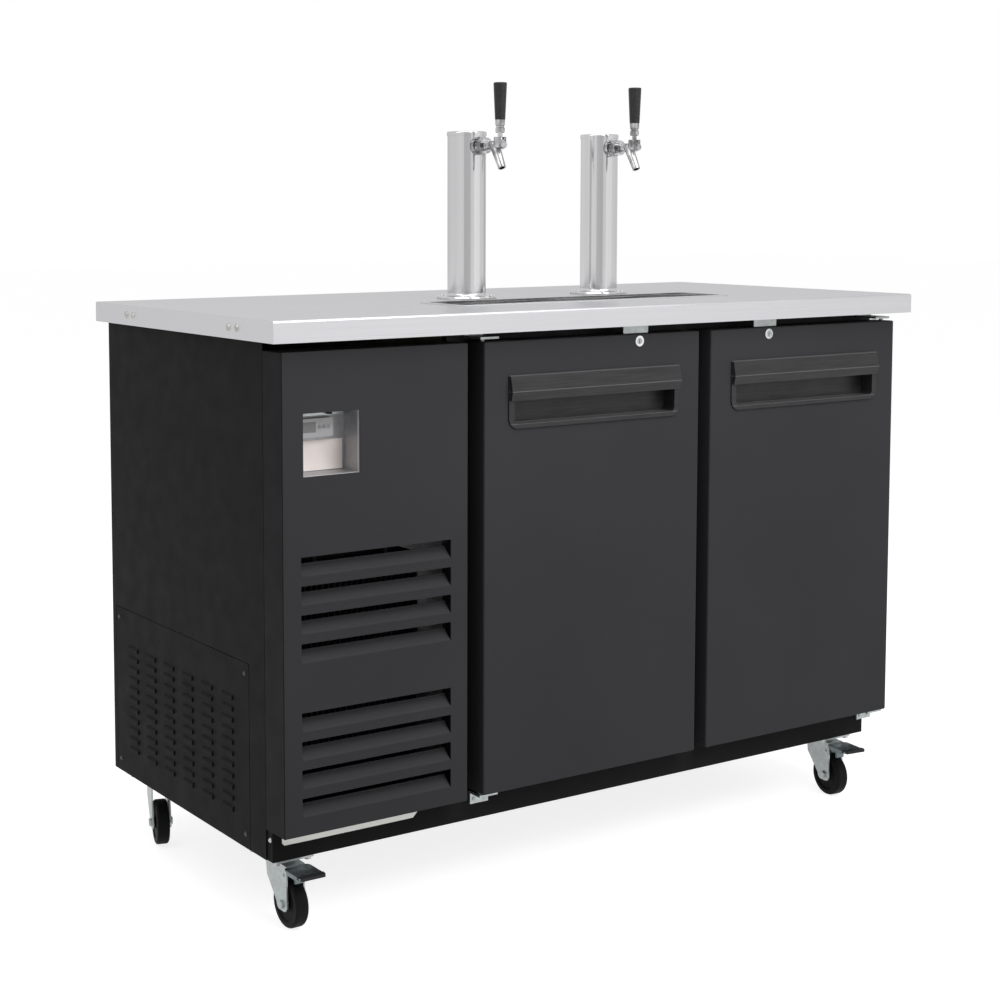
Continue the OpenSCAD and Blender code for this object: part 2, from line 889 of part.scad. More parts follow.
// Discharge, liquid and suction lines, with a drier in the liquid line
module refrigerant_lines() {
    stub_z = zb + skin + 18 + compressor_h + stub_h;
    port_z = coil_z1 + stub_h;
    port_y = coil_y + port_dy;
    run_z = port_z + line_rise;
    wall_y = yb - line_in;
    drier_y = (port_y + wall_y) / 2;
    out_x = machine_x + outlet_dx;
    color("#a8683c") {
        pipe([[machine_x - stub_dx, compressor_y, stub_z],
            [machine_x - stub_dx, compressor_y, run_z + line_over],
            [machine_x - stub_dx, port_y, run_z + line_over], [machine_x - stub_dx, port_y, port_z]], line_d);
        union() {
            pipe([[out_x, port_y, port_z], [out_x, port_y, run_z], [out_x, wall_y, run_z],
                [part_x, wall_y, run_z]], line_d);
            bar_y(out_x, run_z, drier_d, drier_y - drier_l / 2, drier_y + drier_l / 2);
        }
        pipe([[machine_x + stub_dx, compressor_y, stub_z],
            [machine_x + stub_dx, compressor_y, run_z - line_under],
            [machine_x + stub_dx, wall_y + line_over, run_z - line_under],
            [part_x, wall_y + line_over, run_z - line_under]], line_d);
    }
}

// Evaporator on the compartment's left wall
evap_x1 = bay_x0 + evap_d;
module evaporator_cover() {
    t = 1.5;
    y0 = evap_y - evap_w / 2;
    y1 = evap_y + evap_w / 2;
    z0 = evap_z - evap_h / 2;
    z1 = evap_z + evap_h / 2;
    hole_d = evap_fan_d + 10;
    color("#e2e3e4") {
        difference() {
            block([bay_x0 + eps, y0, z0], [evap_x1, y1, z1]);
            block([bay_x0 - 1, y0 + t, z0 + t], [evap_x1 - t, y1 - t, z1 - t]);
            bar_x(evap_y, evap_z, hole_d, evap_x1 - 5, evap_x1 + 5);
            for (i = [-4 : 4])
                block([bay_x0 + 12, evap_y + i * 40 - 13, z1 - 5],
                    [evap_x1 - 12, evap_y + i * 40 + 13, z1 + 5]);
        }
        for (a = [0 : 60 : 300])
            translate([evap_x1 - 1.5, evap_y, evap_z])
                rotate([a, 0, 0])
                    block([0, -2, 14], [1.5, 2, hole_d / 2 + 2]);
        for (d = [60, 100, 140])
            if (d < hole_d)
                difference() {
                    bar_x(evap_y, evap_z, d, evap_x1 - 1.5, evap_x1);
                    bar_x(evap_y, evap_z, d - 5, evap_x1 - 2.5, evap_x1 + 1);
                }
        bar_x(evap_y, evap_z, 36, evap_x1 - 3, evap_x1);
        bar_x(evap_y, evap_z, fan_shaft_d, evap_x1 - 36, evap_x1 - 2);
    }
}

module evaporator_coil() {
    fins = 30;
    y0 = evap_y - evap_w / 2 + fin_in;
    w = evap_w - 2 * fin_in;
    z0 = evap_z - evap_h / 2 + 1.5;
    pitch = (w - 6) / fins;
    color("#b6b9bb")
    translate([bay_x0, 0, 0]) {
        for (y = [y0, y0 + w - 2])
            block([0, y, z0], [42, y + 2, z0 + evap_h - 30]);
        for (i = [1 : fins - 1])
            block([4, y0 + 3 + i * pitch - 0.6, z0 + 8], [38, y0 + 3 + i * pitch + 0.6, z0 + evap_h - 38]);
        for (j = [0 : 4])
            bar_y(21, z0 + 30 + j * 52, line_d, y0 - 8, y0 + w + 8);
    }
}

module evaporator_fan() {
    color("#3a3c3f")
    translate([evap_x1 - evap_fan_in, evap_y, evap_z])
        rotate([0, 90, 0])
            fan_wheel(evap_fan_d, evap_hub_d, evap_hub_l, 5);
}

// Draught columns
flange_t = 6;
flange_pcd = 98;
module draught_column(x) {
    r = column_d / 2;
    difference() {
        translate([x, column_y, top_h])
            rotate_extrude()
                polygon(concat([[line_hole_d / 2, 0], [flange_d / 2, 0], [flange_d / 2, flange_t - 3],
                    [flange_d / 2 - 3, flange_t], [r + 6, flange_t]],
                    [for (a = [0 : 15 : 90]) [r + 6 - 6 * sin(a), flange_t + 6 - 6 * cos(a)]],
                    [[r, column_h - cap_h], [r - column_wall, column_h - cap_h],
                    [r - column_wall, flange_t + 4], [line_hole_d / 2, flange_t + 4]]));
        bar_y(x, tap_z, shank_d + 2 * shaft_slack, column_y - column_d, column_y);
    }
}

module draught_columns() {
    color("#c9cacc")
    for (x = column_xs)
        draught_column(x);
}

// Domed cap with a short plug that drops into the column
module column_caps() {
    r = column_d / 2;
    plug_r = r - column_wall - shaft_slack;
    color("#cfd0d2")
    for (x = column_xs)
        translate([x, column_y, top_h + column_h - cap_h])
            rotate_extrude()
                polygon(concat([[0, -3], [plug_r, -3], [plug_r, 0.2], [r + cap_rim, 0.2],
                    [r + cap_rim, cap_h - 4]],
                    [for (a = [0 : 15 : 90]) [r + cap_rim - 3 + 3 * cos(a), cap_h - 4 + 3 * sin(a)]],
                    [[r * 0.6, cap_h - 0.4], [0, cap_h]]));
}

// Distances below run forward from the column's axis
function ahead(s) = column_y - s;
collar_s = column_d / 2 + end_fit;
nut_s = collar_s + collar_l;
body_s = nut_s + nut_l;
nose_s = tap_reach + 14;

// Threaded shank through the column's wall, with its outer collar, lock nut and coupling nut
module faucet_shanks() {
    inner = column_d / 2 - column_wall - end_fit;
    color("#c4c5c8")
    for (x = column_xs)
        difference() {
            union() {
                bar_y(x, tap_z, shank_d, ahead(nut_s + 12), ahead(4));
                bar_y(x, tap_z, collar_out_d, ahead(nut_s), ahead(collar_s));
                bar_y(x, tap_z, 31, ahead(inner - 5), ahead(inner - 12));
                bar_y(x, tap_z, nut_d, ahead(body_s), ahead(nut_s + 0.8));
            }
            bar_y(x, tap_z, 9, ahead(body_s + 1), ahead(0));
            bar_y(x, tap_z, barrel_out_d + 2 * shaft_slack, ahead(body_s + 1), ahead(nut_s + 12));
            for (a = [0 : 30 : 330])
                translate([x, 0, tap_z])
                    rotate([0, a, 0])
                        bar_y(nut_d / 2 + 1.2, 0, 5, ahead(body_s - 3), ahead(nut_s + 4));
        }
}

// Faucet: barrel along the tap's axis, bonnet for the lever's ball, slanted spout
spout_d = 15;
spout_bore = 10;
spout_drop = 44;
spout_ahead = 7;
spout_back = 17;
spout_swell = 5;
module faucet_body(x) {
    foot_s = tap_reach - spout_back;
    lean = atan2(tap_reach + spout_ahead - foot_s, spout_drop);
    run = norm([tap_reach + spout_ahead - foot_s, spout_drop]);
    bore_d = shaft_d + 2 * shaft_slack;
    pivot = [x, ahead(tap_reach), tap_z + pivot_up];
    difference() {
        union() {
            bar_y(x, tap_z, barrel_out_d, ahead(nose_s - 6), ahead(nut_s + 12 + end_fit));
            bar_y(x, tap_z, barrel_out_d - 4, ahead(nose_s), ahead(nose_s - 7));
            bar_y(x, tap_z, 22, ahead(body_s + 8), ahead(body_s + end_fit));
            translate([x, ahead(tap_reach), tap_z])
                cylinder(h = pivot_up + 5, d = 24);
            translate([x, ahead(foot_s), tap_z])
                rotate([180 - lean, 0, 0])
                    translate([0, 0, -2])
                        cylinder(h = run + 2, d1 = spout_d + spout_swell, d2 = spout_d);
        }
        bar_y(x, tap_z, bore_d, ahead(nose_s - 3), ahead(nut_s));
        translate([x, ahead(foot_s), tap_z])
            rotate([180 - lean, 0, 0])
                cylinder(h = run + 2, d = spout_bore);
        translate(pivot)
            sphere(d = ball_d + 2 * ball_fit);
        translate(pivot)
            rotate([0, 90, 0])
                cylinder(h = pivot_pin_l + 2 * end_fit, d = pivot_pin_d + 2 * run_fit, center = true);
        block(pivot + [-lever_d / 2 - ball_fit, -20, 0],
            pivot + [lever_d / 2 + ball_fit, lever_d / 2 + ball_fit, 10]);
        block(pivot + [-tail_d / 2 - 0.5, -tail_d / 2 - 1, -pivot_up],
            pivot + [tail_d / 2 + 0.5, tail_d / 2 + 6, 0]);
    }
}

module faucet_bodies() {
    color("#bfc1c4")
    for (x = column_xs)
        faucet_body(x);
}

// Valve shaft in the faucet's barrel, with a flat under the ball and the socket for the lever's tail
module faucet_shaft(x) {
    color("#a9abae")
    difference() {
        bar_y(x, tap_z, shaft_d, ahead(nose_s - 5), ahead(body_s + 2));
        block([x - tail_d / 2 - 0.5, ahead(tap_reach) - tail_d / 2 - 0.5, tap_z - 3.6],
            [x + tail_d / 2 + 0.5, ahead(tap_reach) + tail_d / 2 + 0.5, tap_z + shaft_d]);
        block([x - shaft_d, ahead(tap_reach) - ball_d / 2 - 6, tap_z + 2.9],
            [x + shaft_d, ahead(tap_reach) + ball_d / 2 + 0.6, tap_z + shaft_d]);
    }
}

// Lever: ball with its pivot pin, tail, rod and chrome ferrule
module tap_lever(x) {
    color("#c2c4c7")
    translate([x, ahead(tap_reach), tap_z]) {
        translate([0, 0, pivot_up])
            sphere(d = ball_d);
        translate([0, 0, pivot_up])
            rotate([0, 90, 0])
                cylinder(h = pivot_pin_l, d = pivot_pin_d, center = true);
        translate([0, 0, pivot_up - 9])
            sphere(d = tail_d);
        translate([0, 0, pivot_up - 9])
            cylinder(h = 9, d = tail_d - 1);
        translate([0, 0, pivot_up])
            cylinder(h = ferrule_z - pivot_up + 2, d = lever_d);
        translate([0, 0, ferrule_z])
            rotate_extrude()
                polygon([[0, 0], [ferrule_d / 2 - 1.5, 0], [ferrule_d / 2, 1.5], [ferrule_d / 2, 9],
                    [ferrule_d / 2 - 1.5, 10.5], [ferrule_d / 2 - 1.5, 13], [ferrule_d / 2, 14.5],
                    [ferrule_d / 2 + 0.5, handle_z - ferrule_z], [0, handle_z - ferrule_z]]);
        translate([0, 0, handle_z - eps])
            cylinder(h = 20, d = 8);
    }
}

// Black tapered handle screwed on the ferrule
module tap_handle(x) {
    r0 = 10;
    r1 = 13;
    color("#141414")
    translate([x, ahead(tap_reach), tap_z + handle_z])
        difference() {
            rotate_extrude()
                polygon(concat([[0, 0], [r0 - 0.8, 0], [r0, 0.8]],
                    [for (a = [0 : 15 : 90])
                        [r1 - 2.5 + 2.5 * cos(a), tap_handle_l - 2.5 + 2.5 * sin(a)]],
                    [[0, tap_handle_l]]));
            translate([0, 0, -1])
                cylinder(h = 21 + end_fit, d = 8 + 2 * run_fit);
        }
}

// Doors
// Everything that a door's skin and core leave free: handle, lock, cam slot and hinge bores
module door_cuts(x0, hinge_x, lock_x) {
    hx = x0 + door_w / 2;
    hz = door_z1 - handle_drop - handle_h / 2;
    bore = hinge_pin_d + 2 * run_fit;
    block([hx - cup_half_w - sheet_gap, yf - 1, hz - cup_half_h - sheet_gap],
        [hx + cup_half_w + sheet_gap, yf + cup_d + sheet_gap, hz + cup_half_h + sheet_gap]);
    bar_y(lock_x, door_z1 - lock_drop, barrel_d + 2 * run_fit, yf - 1, cam_slot_y + 1);
    block([lock_x - cam_l - 4, cam_slot_y, door_z1 - lock_drop - 8],
        [lock_x + cam_l + 4, cam_slot_y + cam_slot_w, door_z1 + 1]);
    translate([hinge_x, hinge_y, door_z0 - 1])
        cylinder(h = hinge_pin_l + 2, d = bore);
    translate([hinge_x, hinge_y, door_z1 - hinge_pin_l - 1])
        cylinder(h = hinge_pin_l + 2, d = bore);
}

// Folded steel skin of a door
module door_skin_pan(x0, hinge_x, lock_x) {
    color("#3e3e41")
    difference() {
        pan([x0, yf, door_z0], [x0 + door_w, yf + door_t - 2, door_z1], door_skin);
        door_cuts(x0, hinge_x, lock_x);
    }
}

// Foamed core with the inner liner of a door
module door_core(x0, hinge_x, lock_x) {
    t = door_skin;
    color("#c6c8ca")
    difference() {
        union() {
            block([x0 + t, yf + t, door_z0 + t], [x0 + door_w - t, yf + door_t, door_z1 - t]);
            block([x0 + seal_land, yf + door_t - 1, door_z0 + seal_land],
                [x0 + door_w - seal_land, yf + door_t + 5, door_z1 - seal_land]);
        }
        door_cuts(x0, hinge_x, lock_x);
    }
}

// Magnetic gasket round the inner face of a door
module door_gasket(x0) {
    color("#4b4c4e")
    translate([x0 + door_w / 2, yf + door_t, door_z0 + door_h / 2])
        rotate([-90, 0, 0]) {
            gasket_ring(gasket_in, gasket_w, gasket_t / 3);
            gasket_ring(gasket_in + 3, gasket_w - 6, gasket_t);
        }
}

// One rectangular ring of the gasket
module gasket_ring(inset, w, t) {
    linear_extrude(t)
        difference() {
            round_rect(door_w - 2 * inset, door_h - 2 * inset, 6);
            round_rect(door_w - 2 * inset - 2 * w, door_h - 2 * inset - 2 * w, 3);
        }
}

// Recessed handle: bezel, cup and a hollow bent lip that hangs over the cup's upper half
cup_half_w = handle_w / 2 - bezel_w + cup_wall;
cup_half_h = handle_h / 2 - 8 + cup_wall;
lip_wall = 4;
lip_nose = 16;
lip_tuck = 4;
lip_side = 1.5;
lip_end = 6;
handle_r = 20;

// Outline of the handle: nearly square above, rounded below
module handle_outline(w, h, r) {
    union() {
        round_rect(w, h, r);
        translate([0, h / 4])
            round_rect(w, h / 2, 3);
    }
}

// Profile of the hanging lip, which slopes out to its bend and tucks in below it, hollow or solid
module handle_lip(w, hollow) {
    back = -bezel_t + eps;
    top = lip_h / 2;
    bend = lip_nose - top;
    rotate([90, 0, 90])
        translate([0, 0, -w / 2])
            linear_extrude(w)
                polygon(concat([[back, top], [-bezel_t - 3, top], [-lip_out, bend],
                    [-lip_out + lip_tuck, -top]], hollow ? [[-lip_out + lip_tuck + lip_wall, -top],
                    [-lip_out + lip_wall, bend], [back, top - 2 * lip_wall]] : [[back, -top]]));
}

module door_handle(x0) {
    hz = door_z1 - handle_drop - handle_h / 2;
    in_w = cup_half_w - cup_wall;
    in_h = cup_half_h - cup_wall;
    lip_z = handle_h / 2 - lip_h / 2 - 2;
    color("#1a1a1b")
    translate([x0 + door_w / 2, yf, hz]) {
        difference() {
            union() {
                rotate([90, 0, 0])
                    linear_extrude(bezel_t)
                        handle_outline(handle_w, handle_h, handle_r);
                block([-cup_half_w, -eps, -cup_half_h], [cup_half_w, cup_d, cup_half_h]);
            }
            translate([0, cup_d - cup_wall, 0])
                rotate([90, 0, 0])
                    linear_extrude(cup_d + bezel_t)
                        handle_outline(2 * in_w, 2 * in_h, handle_r / 2);
        }
        translate([0, 0, lip_z])
            handle_lip(handle_w - 2 * lip_side, true);
        for (s = [-1, 1])
            translate([s * (handle_w / 2 - lip_side - lip_end / 2), 0, lip_z])
                handle_lip(lip_end, false);
    }
}

// Lock barrel fixed in a door's front
module door_lock(lock_x) {
    z = door_z1 - lock_drop;
    color("#c4c2bc")
    difference() {
        union() {
            bar_y(lock_x, z, lock_d, yf - 2, yf);
            bar_y(lock_x, z, barrel_d, yf - eps, cam_slot_y);
        }
        bar_y(lock_x, z, plug_d + 2 * run_fit, yf - 3, cam_slot_y + 1);
    }
}

// Key plug with its cam; the cam lies level when unlocked
module lock_plug(lock_x) {
    z = door_z1 - lock_drop;
    cam_y = cam_slot_y + (cam_slot_w - cam_t) / 2;
    color("#b2b0aa")
    difference() {
        union() {
            bar_y(lock_x, z, plug_d, yf - 1.5, cam_y + cam_t);
            block([lock_x, cam_y, z - cam_w / 2], [lock_x + cam_l - cam_w / 2, cam_y + cam_t, z + cam_w / 2]);
            bar_y(lock_x + cam_l - cam_w / 2, z, cam_w, cam_y, cam_y + cam_t);
        }
        block([lock_x - 0.9, yf - 3, z - 4], [lock_x + 0.9, yf + 4, z + 4]);
    }
}

left_hinge_x = hinge_xs[0];
right_hinge_x = hinge_xs[1];
left_lock_x = left_x + door_w - lock_inset;
right_lock_x = right_x + lock_inset;

// Casters
caster_places = [[caster_x0, caster_y0, 0], [caster_x1, caster_y0, right_swivel],
    [caster_x0, caster_y1, rear_swivel], [caster_x1, caster_y1, rear_swivel]];
race_z = zb - plate_t - race_t;
fork_z1 = race_z - end_fit;
fork_z0 = fork_z1 - fork_t;
axle_z = wheel_d / 2;
leg_x = wheel_w / 2 + fork_gap;
pedal_y = -caster_trail - 8;
pedal_z = wheel_d + 11;
pedal_w = 50;
pedal_l = 62;
pedal_t = 3;
pedal_lead = 9;
pedal_lift = 14;
pedal_flange = 6;
shoe_rise = 8;
shoe_lead = 22;
fork_end = 18;
fork_end_r = 11;

// Puts a caster's piece at its swivel, turned as it stands
module at_caster(i) {
    translate([caster_places[i][0], caster_places[i][1], 0])
        rotate(caster_places[i][2])
            children();
}

// Bolted plates with the upper race and the kingpin
module caster_plates() {
    color("#b3b8b6")
    for (i = [0 : 3])
        translate([caster_places[i][0], caster_places[i][1], 0])
            difference() {
                union() {
                    translate([0, 0, zb - plate_t])
                        linear_extrude(plate_t)
                            round_rect(plate_l, plate_w, 6);
                    translate([0, 0, race_z])
                        cylinder(h = race_t + eps, d = race_d);
                    translate([0, 0, fork_z0 - end_fit - 3])
                        cylinder(h = race_z - fork_z0 + end_fit + 4, d = kingpin_d);
                    translate([0, 0, fork_z0 - end_fit - 3])
                        cylinder(h = 3, d = kingpin_d + 6);
                }
                for (sx = [-1, 1], sy = [-1, 1])
                    translate([sx * (plate_l / 2 - 9), sy * (plate_w / 2 - 9), zb - plate_t - 1])
                        cylinder(h = plate_t + 2, d = 8.5);
            }
}

// Outline of a fork's leg, seen along the axle
module fork_leg_outline(braked) {
    nose = braked ? pedal_y - 8 : -caster_trail - 6;
    difference() {
        union() {
            polygon([[20, fork_z1], [nose, fork_z1], [nose, pedal_z - 9], [-caster_trail - fork_end, axle_z],
                [-caster_trail + fork_end, axle_z], [16, fork_z1 - 32]]);
            hull()
                for (s = [-1, 1])
                    translate([-caster_trail + s * (fork_end - fork_end_r), axle_z])
                        circle(fork_end_r);
        }
        translate([-caster_trail, axle_z])
            circle(d = axle_d + 2 * shaft_slack);
        if (braked)
            translate([pedal_y, pedal_z])
                circle(d = pedal_pivot_d + 2 * run_fit);
    }
}

// Swivel fork with its axle bolt
module caster_fork(i, braked) {
    color("#aeb4b2")
    at_caster(i) {
        difference() {
            union() {
                for (s = [-1, 1])
                    translate([s * (leg_x + fork_t / 2) - fork_t / 2, 0, 0])
                        rotate([90, 0, 90])
                            linear_extrude(fork_t)
                                fork_leg_outline(braked);
                block([-leg_x - eps, braked ? pedal_y - 8 : -caster_trail - 6, fork_z0],
                    [leg_x + eps, 20, fork_z1]);
                translate([0, 0, fork_z0])
                    cylinder(h = fork_t, d = race_d + 4);
            }
            translate([0, 0, fork_z0 - 1])
                cylinder(h = fork_t + 2, d = kingpin_d + 2 * run_fit);
        }
        translate([0, -caster_trail, axle_z]) {
            bar_x(0, 0, axle_d, -leg_x - fork_t - 4, leg_x + fork_t + 4);
            for (s = [-1, 1])
                translate([s * (leg_x + fork_t + 2 + 0.2), 0, 0])
                    rotate([0, 90, 0])
                        cylinder(h = 4, d = 16, center = true, $fn = 6);
        }
    }
}

// Wheel with a rounded tread, dished sides and a bored hub
module caster_wheel(i) {
    r = wheel_d / 2;
    hw = wheel_w / 2;
    sh = 5;
    side = concat([[axle_d / 2 + run_fit, hw], [11, hw], [13, hw - 3], [r - 13, hw - 4], [r - 11, hw - 1.5],
        [r - sh, hw - 1.5]], [for (a = [75 : -15 : 0])
        [r - sh + sh * cos(a), hw - 1.5 - sh + sh * sin(a)]]);
    low = [for (k = [len(side) - 1 : -1 : 0]) [side[k][0], -side[k][1]]];
    color("#1f1f21")
    at_caster(i)
        translate([0, -caster_trail, axle_z])
            rotate([0, 90, 0])
                rotate_extrude($fn = 72)
                    polygon(concat(side, low));
}

// Foot pedal: a pressed plate level with the fork, cranked down to its pivot and the shoe over the tread
module caster_pedal(i) {
    arm_x = leg_x - 2.5;
    tip = -pedal_lead - pedal_l;
    color("#9fb0b4")
    at_caster(i)
        translate([0, pedal_y, pedal_z]) {
            bar_x(0, 0, 9, -leg_x + end_fit, leg_x - end_fit);
            bar_x(0, 0, pedal_pivot_d, -leg_x - fork_t, leg_x + fork_t);
            rotate([-shoe_rise, 0, 0]) {
                block([-arm_x, -shoe_lead, -pedal_t / 2], [arm_x, 8, pedal_t / 2]);
                block([-9, -shoe_lead, -14], [9, -shoe_lead + 5, 0]);
            }
            block([-arm_x, -pedal_lead - 2 * pedal_t, 0], [arm_x, -pedal_lead - pedal_t, pedal_lift]);
            translate([0, (tip - pedal_lead) / 2, pedal_lift - pedal_t / 2])
                linear_extrude(pedal_t)
                    round_rect(pedal_w, pedal_l, 8);
            for (s = [-1, 1])
                translate([s * (pedal_w - pedal_t) / 2, (tip - pedal_lead) / 2, pedal_lift - pedal_flange / 2])
                    cube([pedal_t, pedal_l - 24, pedal_flange], center = true);
        }
}

base_frame();
side_panels();
side_vent_cover();
back_panel();
insulation();
liner_panels();
door_frame();
countertop();
countertop_core();
drip_tray();
drip_grille();
front_grille_panel();
control_recess();
thermostat();
panel_bracket();
strike_plates();
hinge_brackets();
cabinet_screws();
compressor();
condenser_coil();
fan_shroud();
condenser_fan();
condensate_pan();
refrigerant_lines();
evaporator_cover();
evaporator_coil();
evaporator_fan();
draught_columns();
column_caps();
faucet_shanks();
faucet_bodies();
faucet_shaft(column_xs[0]);  // faucet_shaft_left
tap_lever(column_xs[0]);  // tap_lever_left
tap_handle(column_xs[0]);  // tap_handle_left
faucet_shaft(column_xs[1]);  // faucet_shaft_right
tap_lever(column_xs[1]);  // tap_lever_right
tap_handle(column_xs[1]);  // tap_handle_right
door_skin_pan(left_x, left_hinge_x, left_lock_x);  // door_skin_left
door_core(left_x, left_hinge_x, left_lock_x);  // door_core_left
door_gasket(left_x);  // door_gasket_left
door_handle(left_x);  // door_handle_left
door_lock(left_lock_x);  // door_lock_left
lock_plug(left_lock_x);  // lock_plug_left
door_skin_pan(right_x, right_hinge_x, right_lock_x);  // door_skin_right
door_core(right_x, right_hinge_x, right_lock_x);  // door_core_right
door_gasket(right_x);  // door_gasket_right
door_handle(right_x);  // door_handle_right
door_lock(right_lock_x);  // door_lock_right
lock_plug(right_lock_x);  // lock_plug_right
caster_plates();
caster_fork(0, true);  // caster_fork_front_left
caster_wheel(0);  // caster_wheel_front_left
caster_fork(1, true);  // caster_fork_front_right
caster_wheel(1);  // caster_wheel_front_right
caster_fork(2, false);  // caster_fork_rear_left
caster_wheel(2);  // caster_wheel_rear_left
caster_fork(3, false);  // caster_fork_rear_right
caster_wheel(3);  // caster_wheel_rear_right
caster_pedal(0);  // caster_pedal_front_left
caster_pedal(1);  // caster_pedal_front_right
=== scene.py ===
"""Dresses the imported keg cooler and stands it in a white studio.

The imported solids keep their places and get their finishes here. Thin trim is added to them: folded door skins,
hollow gaskets, the hoods and the flange of the side vent, the fittings of the control window, grips on the caster
pedals and the screws of the hinges. Sizes are in metres.
"""

from __future__ import annotations

import json
import logging
import math
from contextlib import contextmanager
from dataclasses import dataclass
from enum import Enum
from typing import Callable, Iterator

import bpy
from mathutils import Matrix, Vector

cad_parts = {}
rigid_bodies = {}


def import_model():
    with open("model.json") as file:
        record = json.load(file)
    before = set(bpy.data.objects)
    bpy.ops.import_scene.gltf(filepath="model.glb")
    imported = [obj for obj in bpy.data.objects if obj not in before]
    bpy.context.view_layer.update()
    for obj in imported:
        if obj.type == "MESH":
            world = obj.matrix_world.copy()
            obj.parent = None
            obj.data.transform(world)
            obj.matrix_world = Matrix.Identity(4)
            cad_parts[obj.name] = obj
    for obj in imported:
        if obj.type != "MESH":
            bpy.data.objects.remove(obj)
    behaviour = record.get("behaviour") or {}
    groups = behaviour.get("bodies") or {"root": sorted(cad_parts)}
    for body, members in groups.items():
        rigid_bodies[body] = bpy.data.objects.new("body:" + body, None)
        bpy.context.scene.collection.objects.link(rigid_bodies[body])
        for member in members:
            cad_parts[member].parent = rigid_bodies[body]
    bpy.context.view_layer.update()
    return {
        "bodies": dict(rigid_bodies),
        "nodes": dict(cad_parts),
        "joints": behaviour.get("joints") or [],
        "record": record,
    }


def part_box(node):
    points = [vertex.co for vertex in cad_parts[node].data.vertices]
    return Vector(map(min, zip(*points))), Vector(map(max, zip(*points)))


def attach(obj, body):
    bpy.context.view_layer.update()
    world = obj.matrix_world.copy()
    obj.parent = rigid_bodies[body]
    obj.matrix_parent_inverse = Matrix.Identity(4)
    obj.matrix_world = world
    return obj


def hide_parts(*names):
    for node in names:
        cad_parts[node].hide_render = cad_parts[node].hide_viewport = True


Triple = tuple[float, float, float]
Colour = Triple
Socket = bpy.types.NodeSocket
Inputs = dict[str | int, object]
FaceTest = Callable[[Vector, Vector], bool]

LOG = logging.getLogger("keg_cooler")

EVEN: Triple = (1.0, 1.0, 1.0)
SHARP_ANGLE = math.radians(40)
EDGE_STEPS = 2
WELD_GAP = 0.00001
FACING = 0.9
SQUARE = 0.99


class Side(Enum):
    """Which of the two doors or front casters a piece belongs to."""

    LEFT = "left"
    RIGHT = "right"


class Axis(Enum):
    """A direction of the shared frame, by the place of its coordinate."""

    X = 0
    Y = 1
    Z = 2


class Grain(Enum):
    """Direction of a brushed finish, as the stretch of its noise along X, Y and Z."""

    ALONG_X = (3.0, 420.0, 420.0)
    ALONG_Y = (420.0, 3.0, 420.0)
    ALONG_Z = (420.0, 420.0, 3.0)


def opaque(colour: Colour) -> tuple[float, float, float, float]:
    """The colour with full alpha."""
    return (*colour, 1.0)


def grey(tone: float) -> tuple[float, float, float, float]:
    """A grey of one tone, with full alpha."""
    return opaque((tone, tone, tone))


def faces_front(normal: Vector, _: Vector) -> bool:
    """Whether a face looks to the front."""
    return normal.y < -FACING


def faces_back(normal: Vector, _: Vector) -> bool:
    """Whether a face looks to the back."""
    return normal.y > FACING


def faces_up(normal: Vector, _: Vector) -> bool:
    """Whether a face looks up."""
    return normal.z > FACING


def faces_down(normal: Vector, _: Vector) -> bool:
    """Whether a face looks down."""
    return normal.z < -FACING


def connect(tree: bpy.types.NodeTree, node: bpy.types.Node, inputs: Inputs) -> None:
    """Links or sets inputs of a node.

    Args:
        tree: The node tree.
        node: The node.
        inputs: A socket to link or a value to set, by each input's name or place.
    """
    for key, value in inputs.items():
        if isinstance(value, Socket):
            tree.links.new(value, node.inputs[key])
        else:
            node.inputs[key].default_value = value


def add_node(tree: bpy.types.NodeTree, kind: str, inputs: Inputs, **settings: str) -> bpy.types.Node:
    """Adds a node to a tree.

    Args:
        tree: The node tree.
        kind: The node's type, without the prefix that all have.
        inputs: A socket to link or a value to set, by each input's name or place.
        settings: The node's own settings.

    Returns:
        The new node.
    """
    node = tree.nodes.new(f"ShaderNode{kind}")
    for key, value in settings.items():
        setattr(node, key, value)
    connect(tree, node, inputs)
    return node


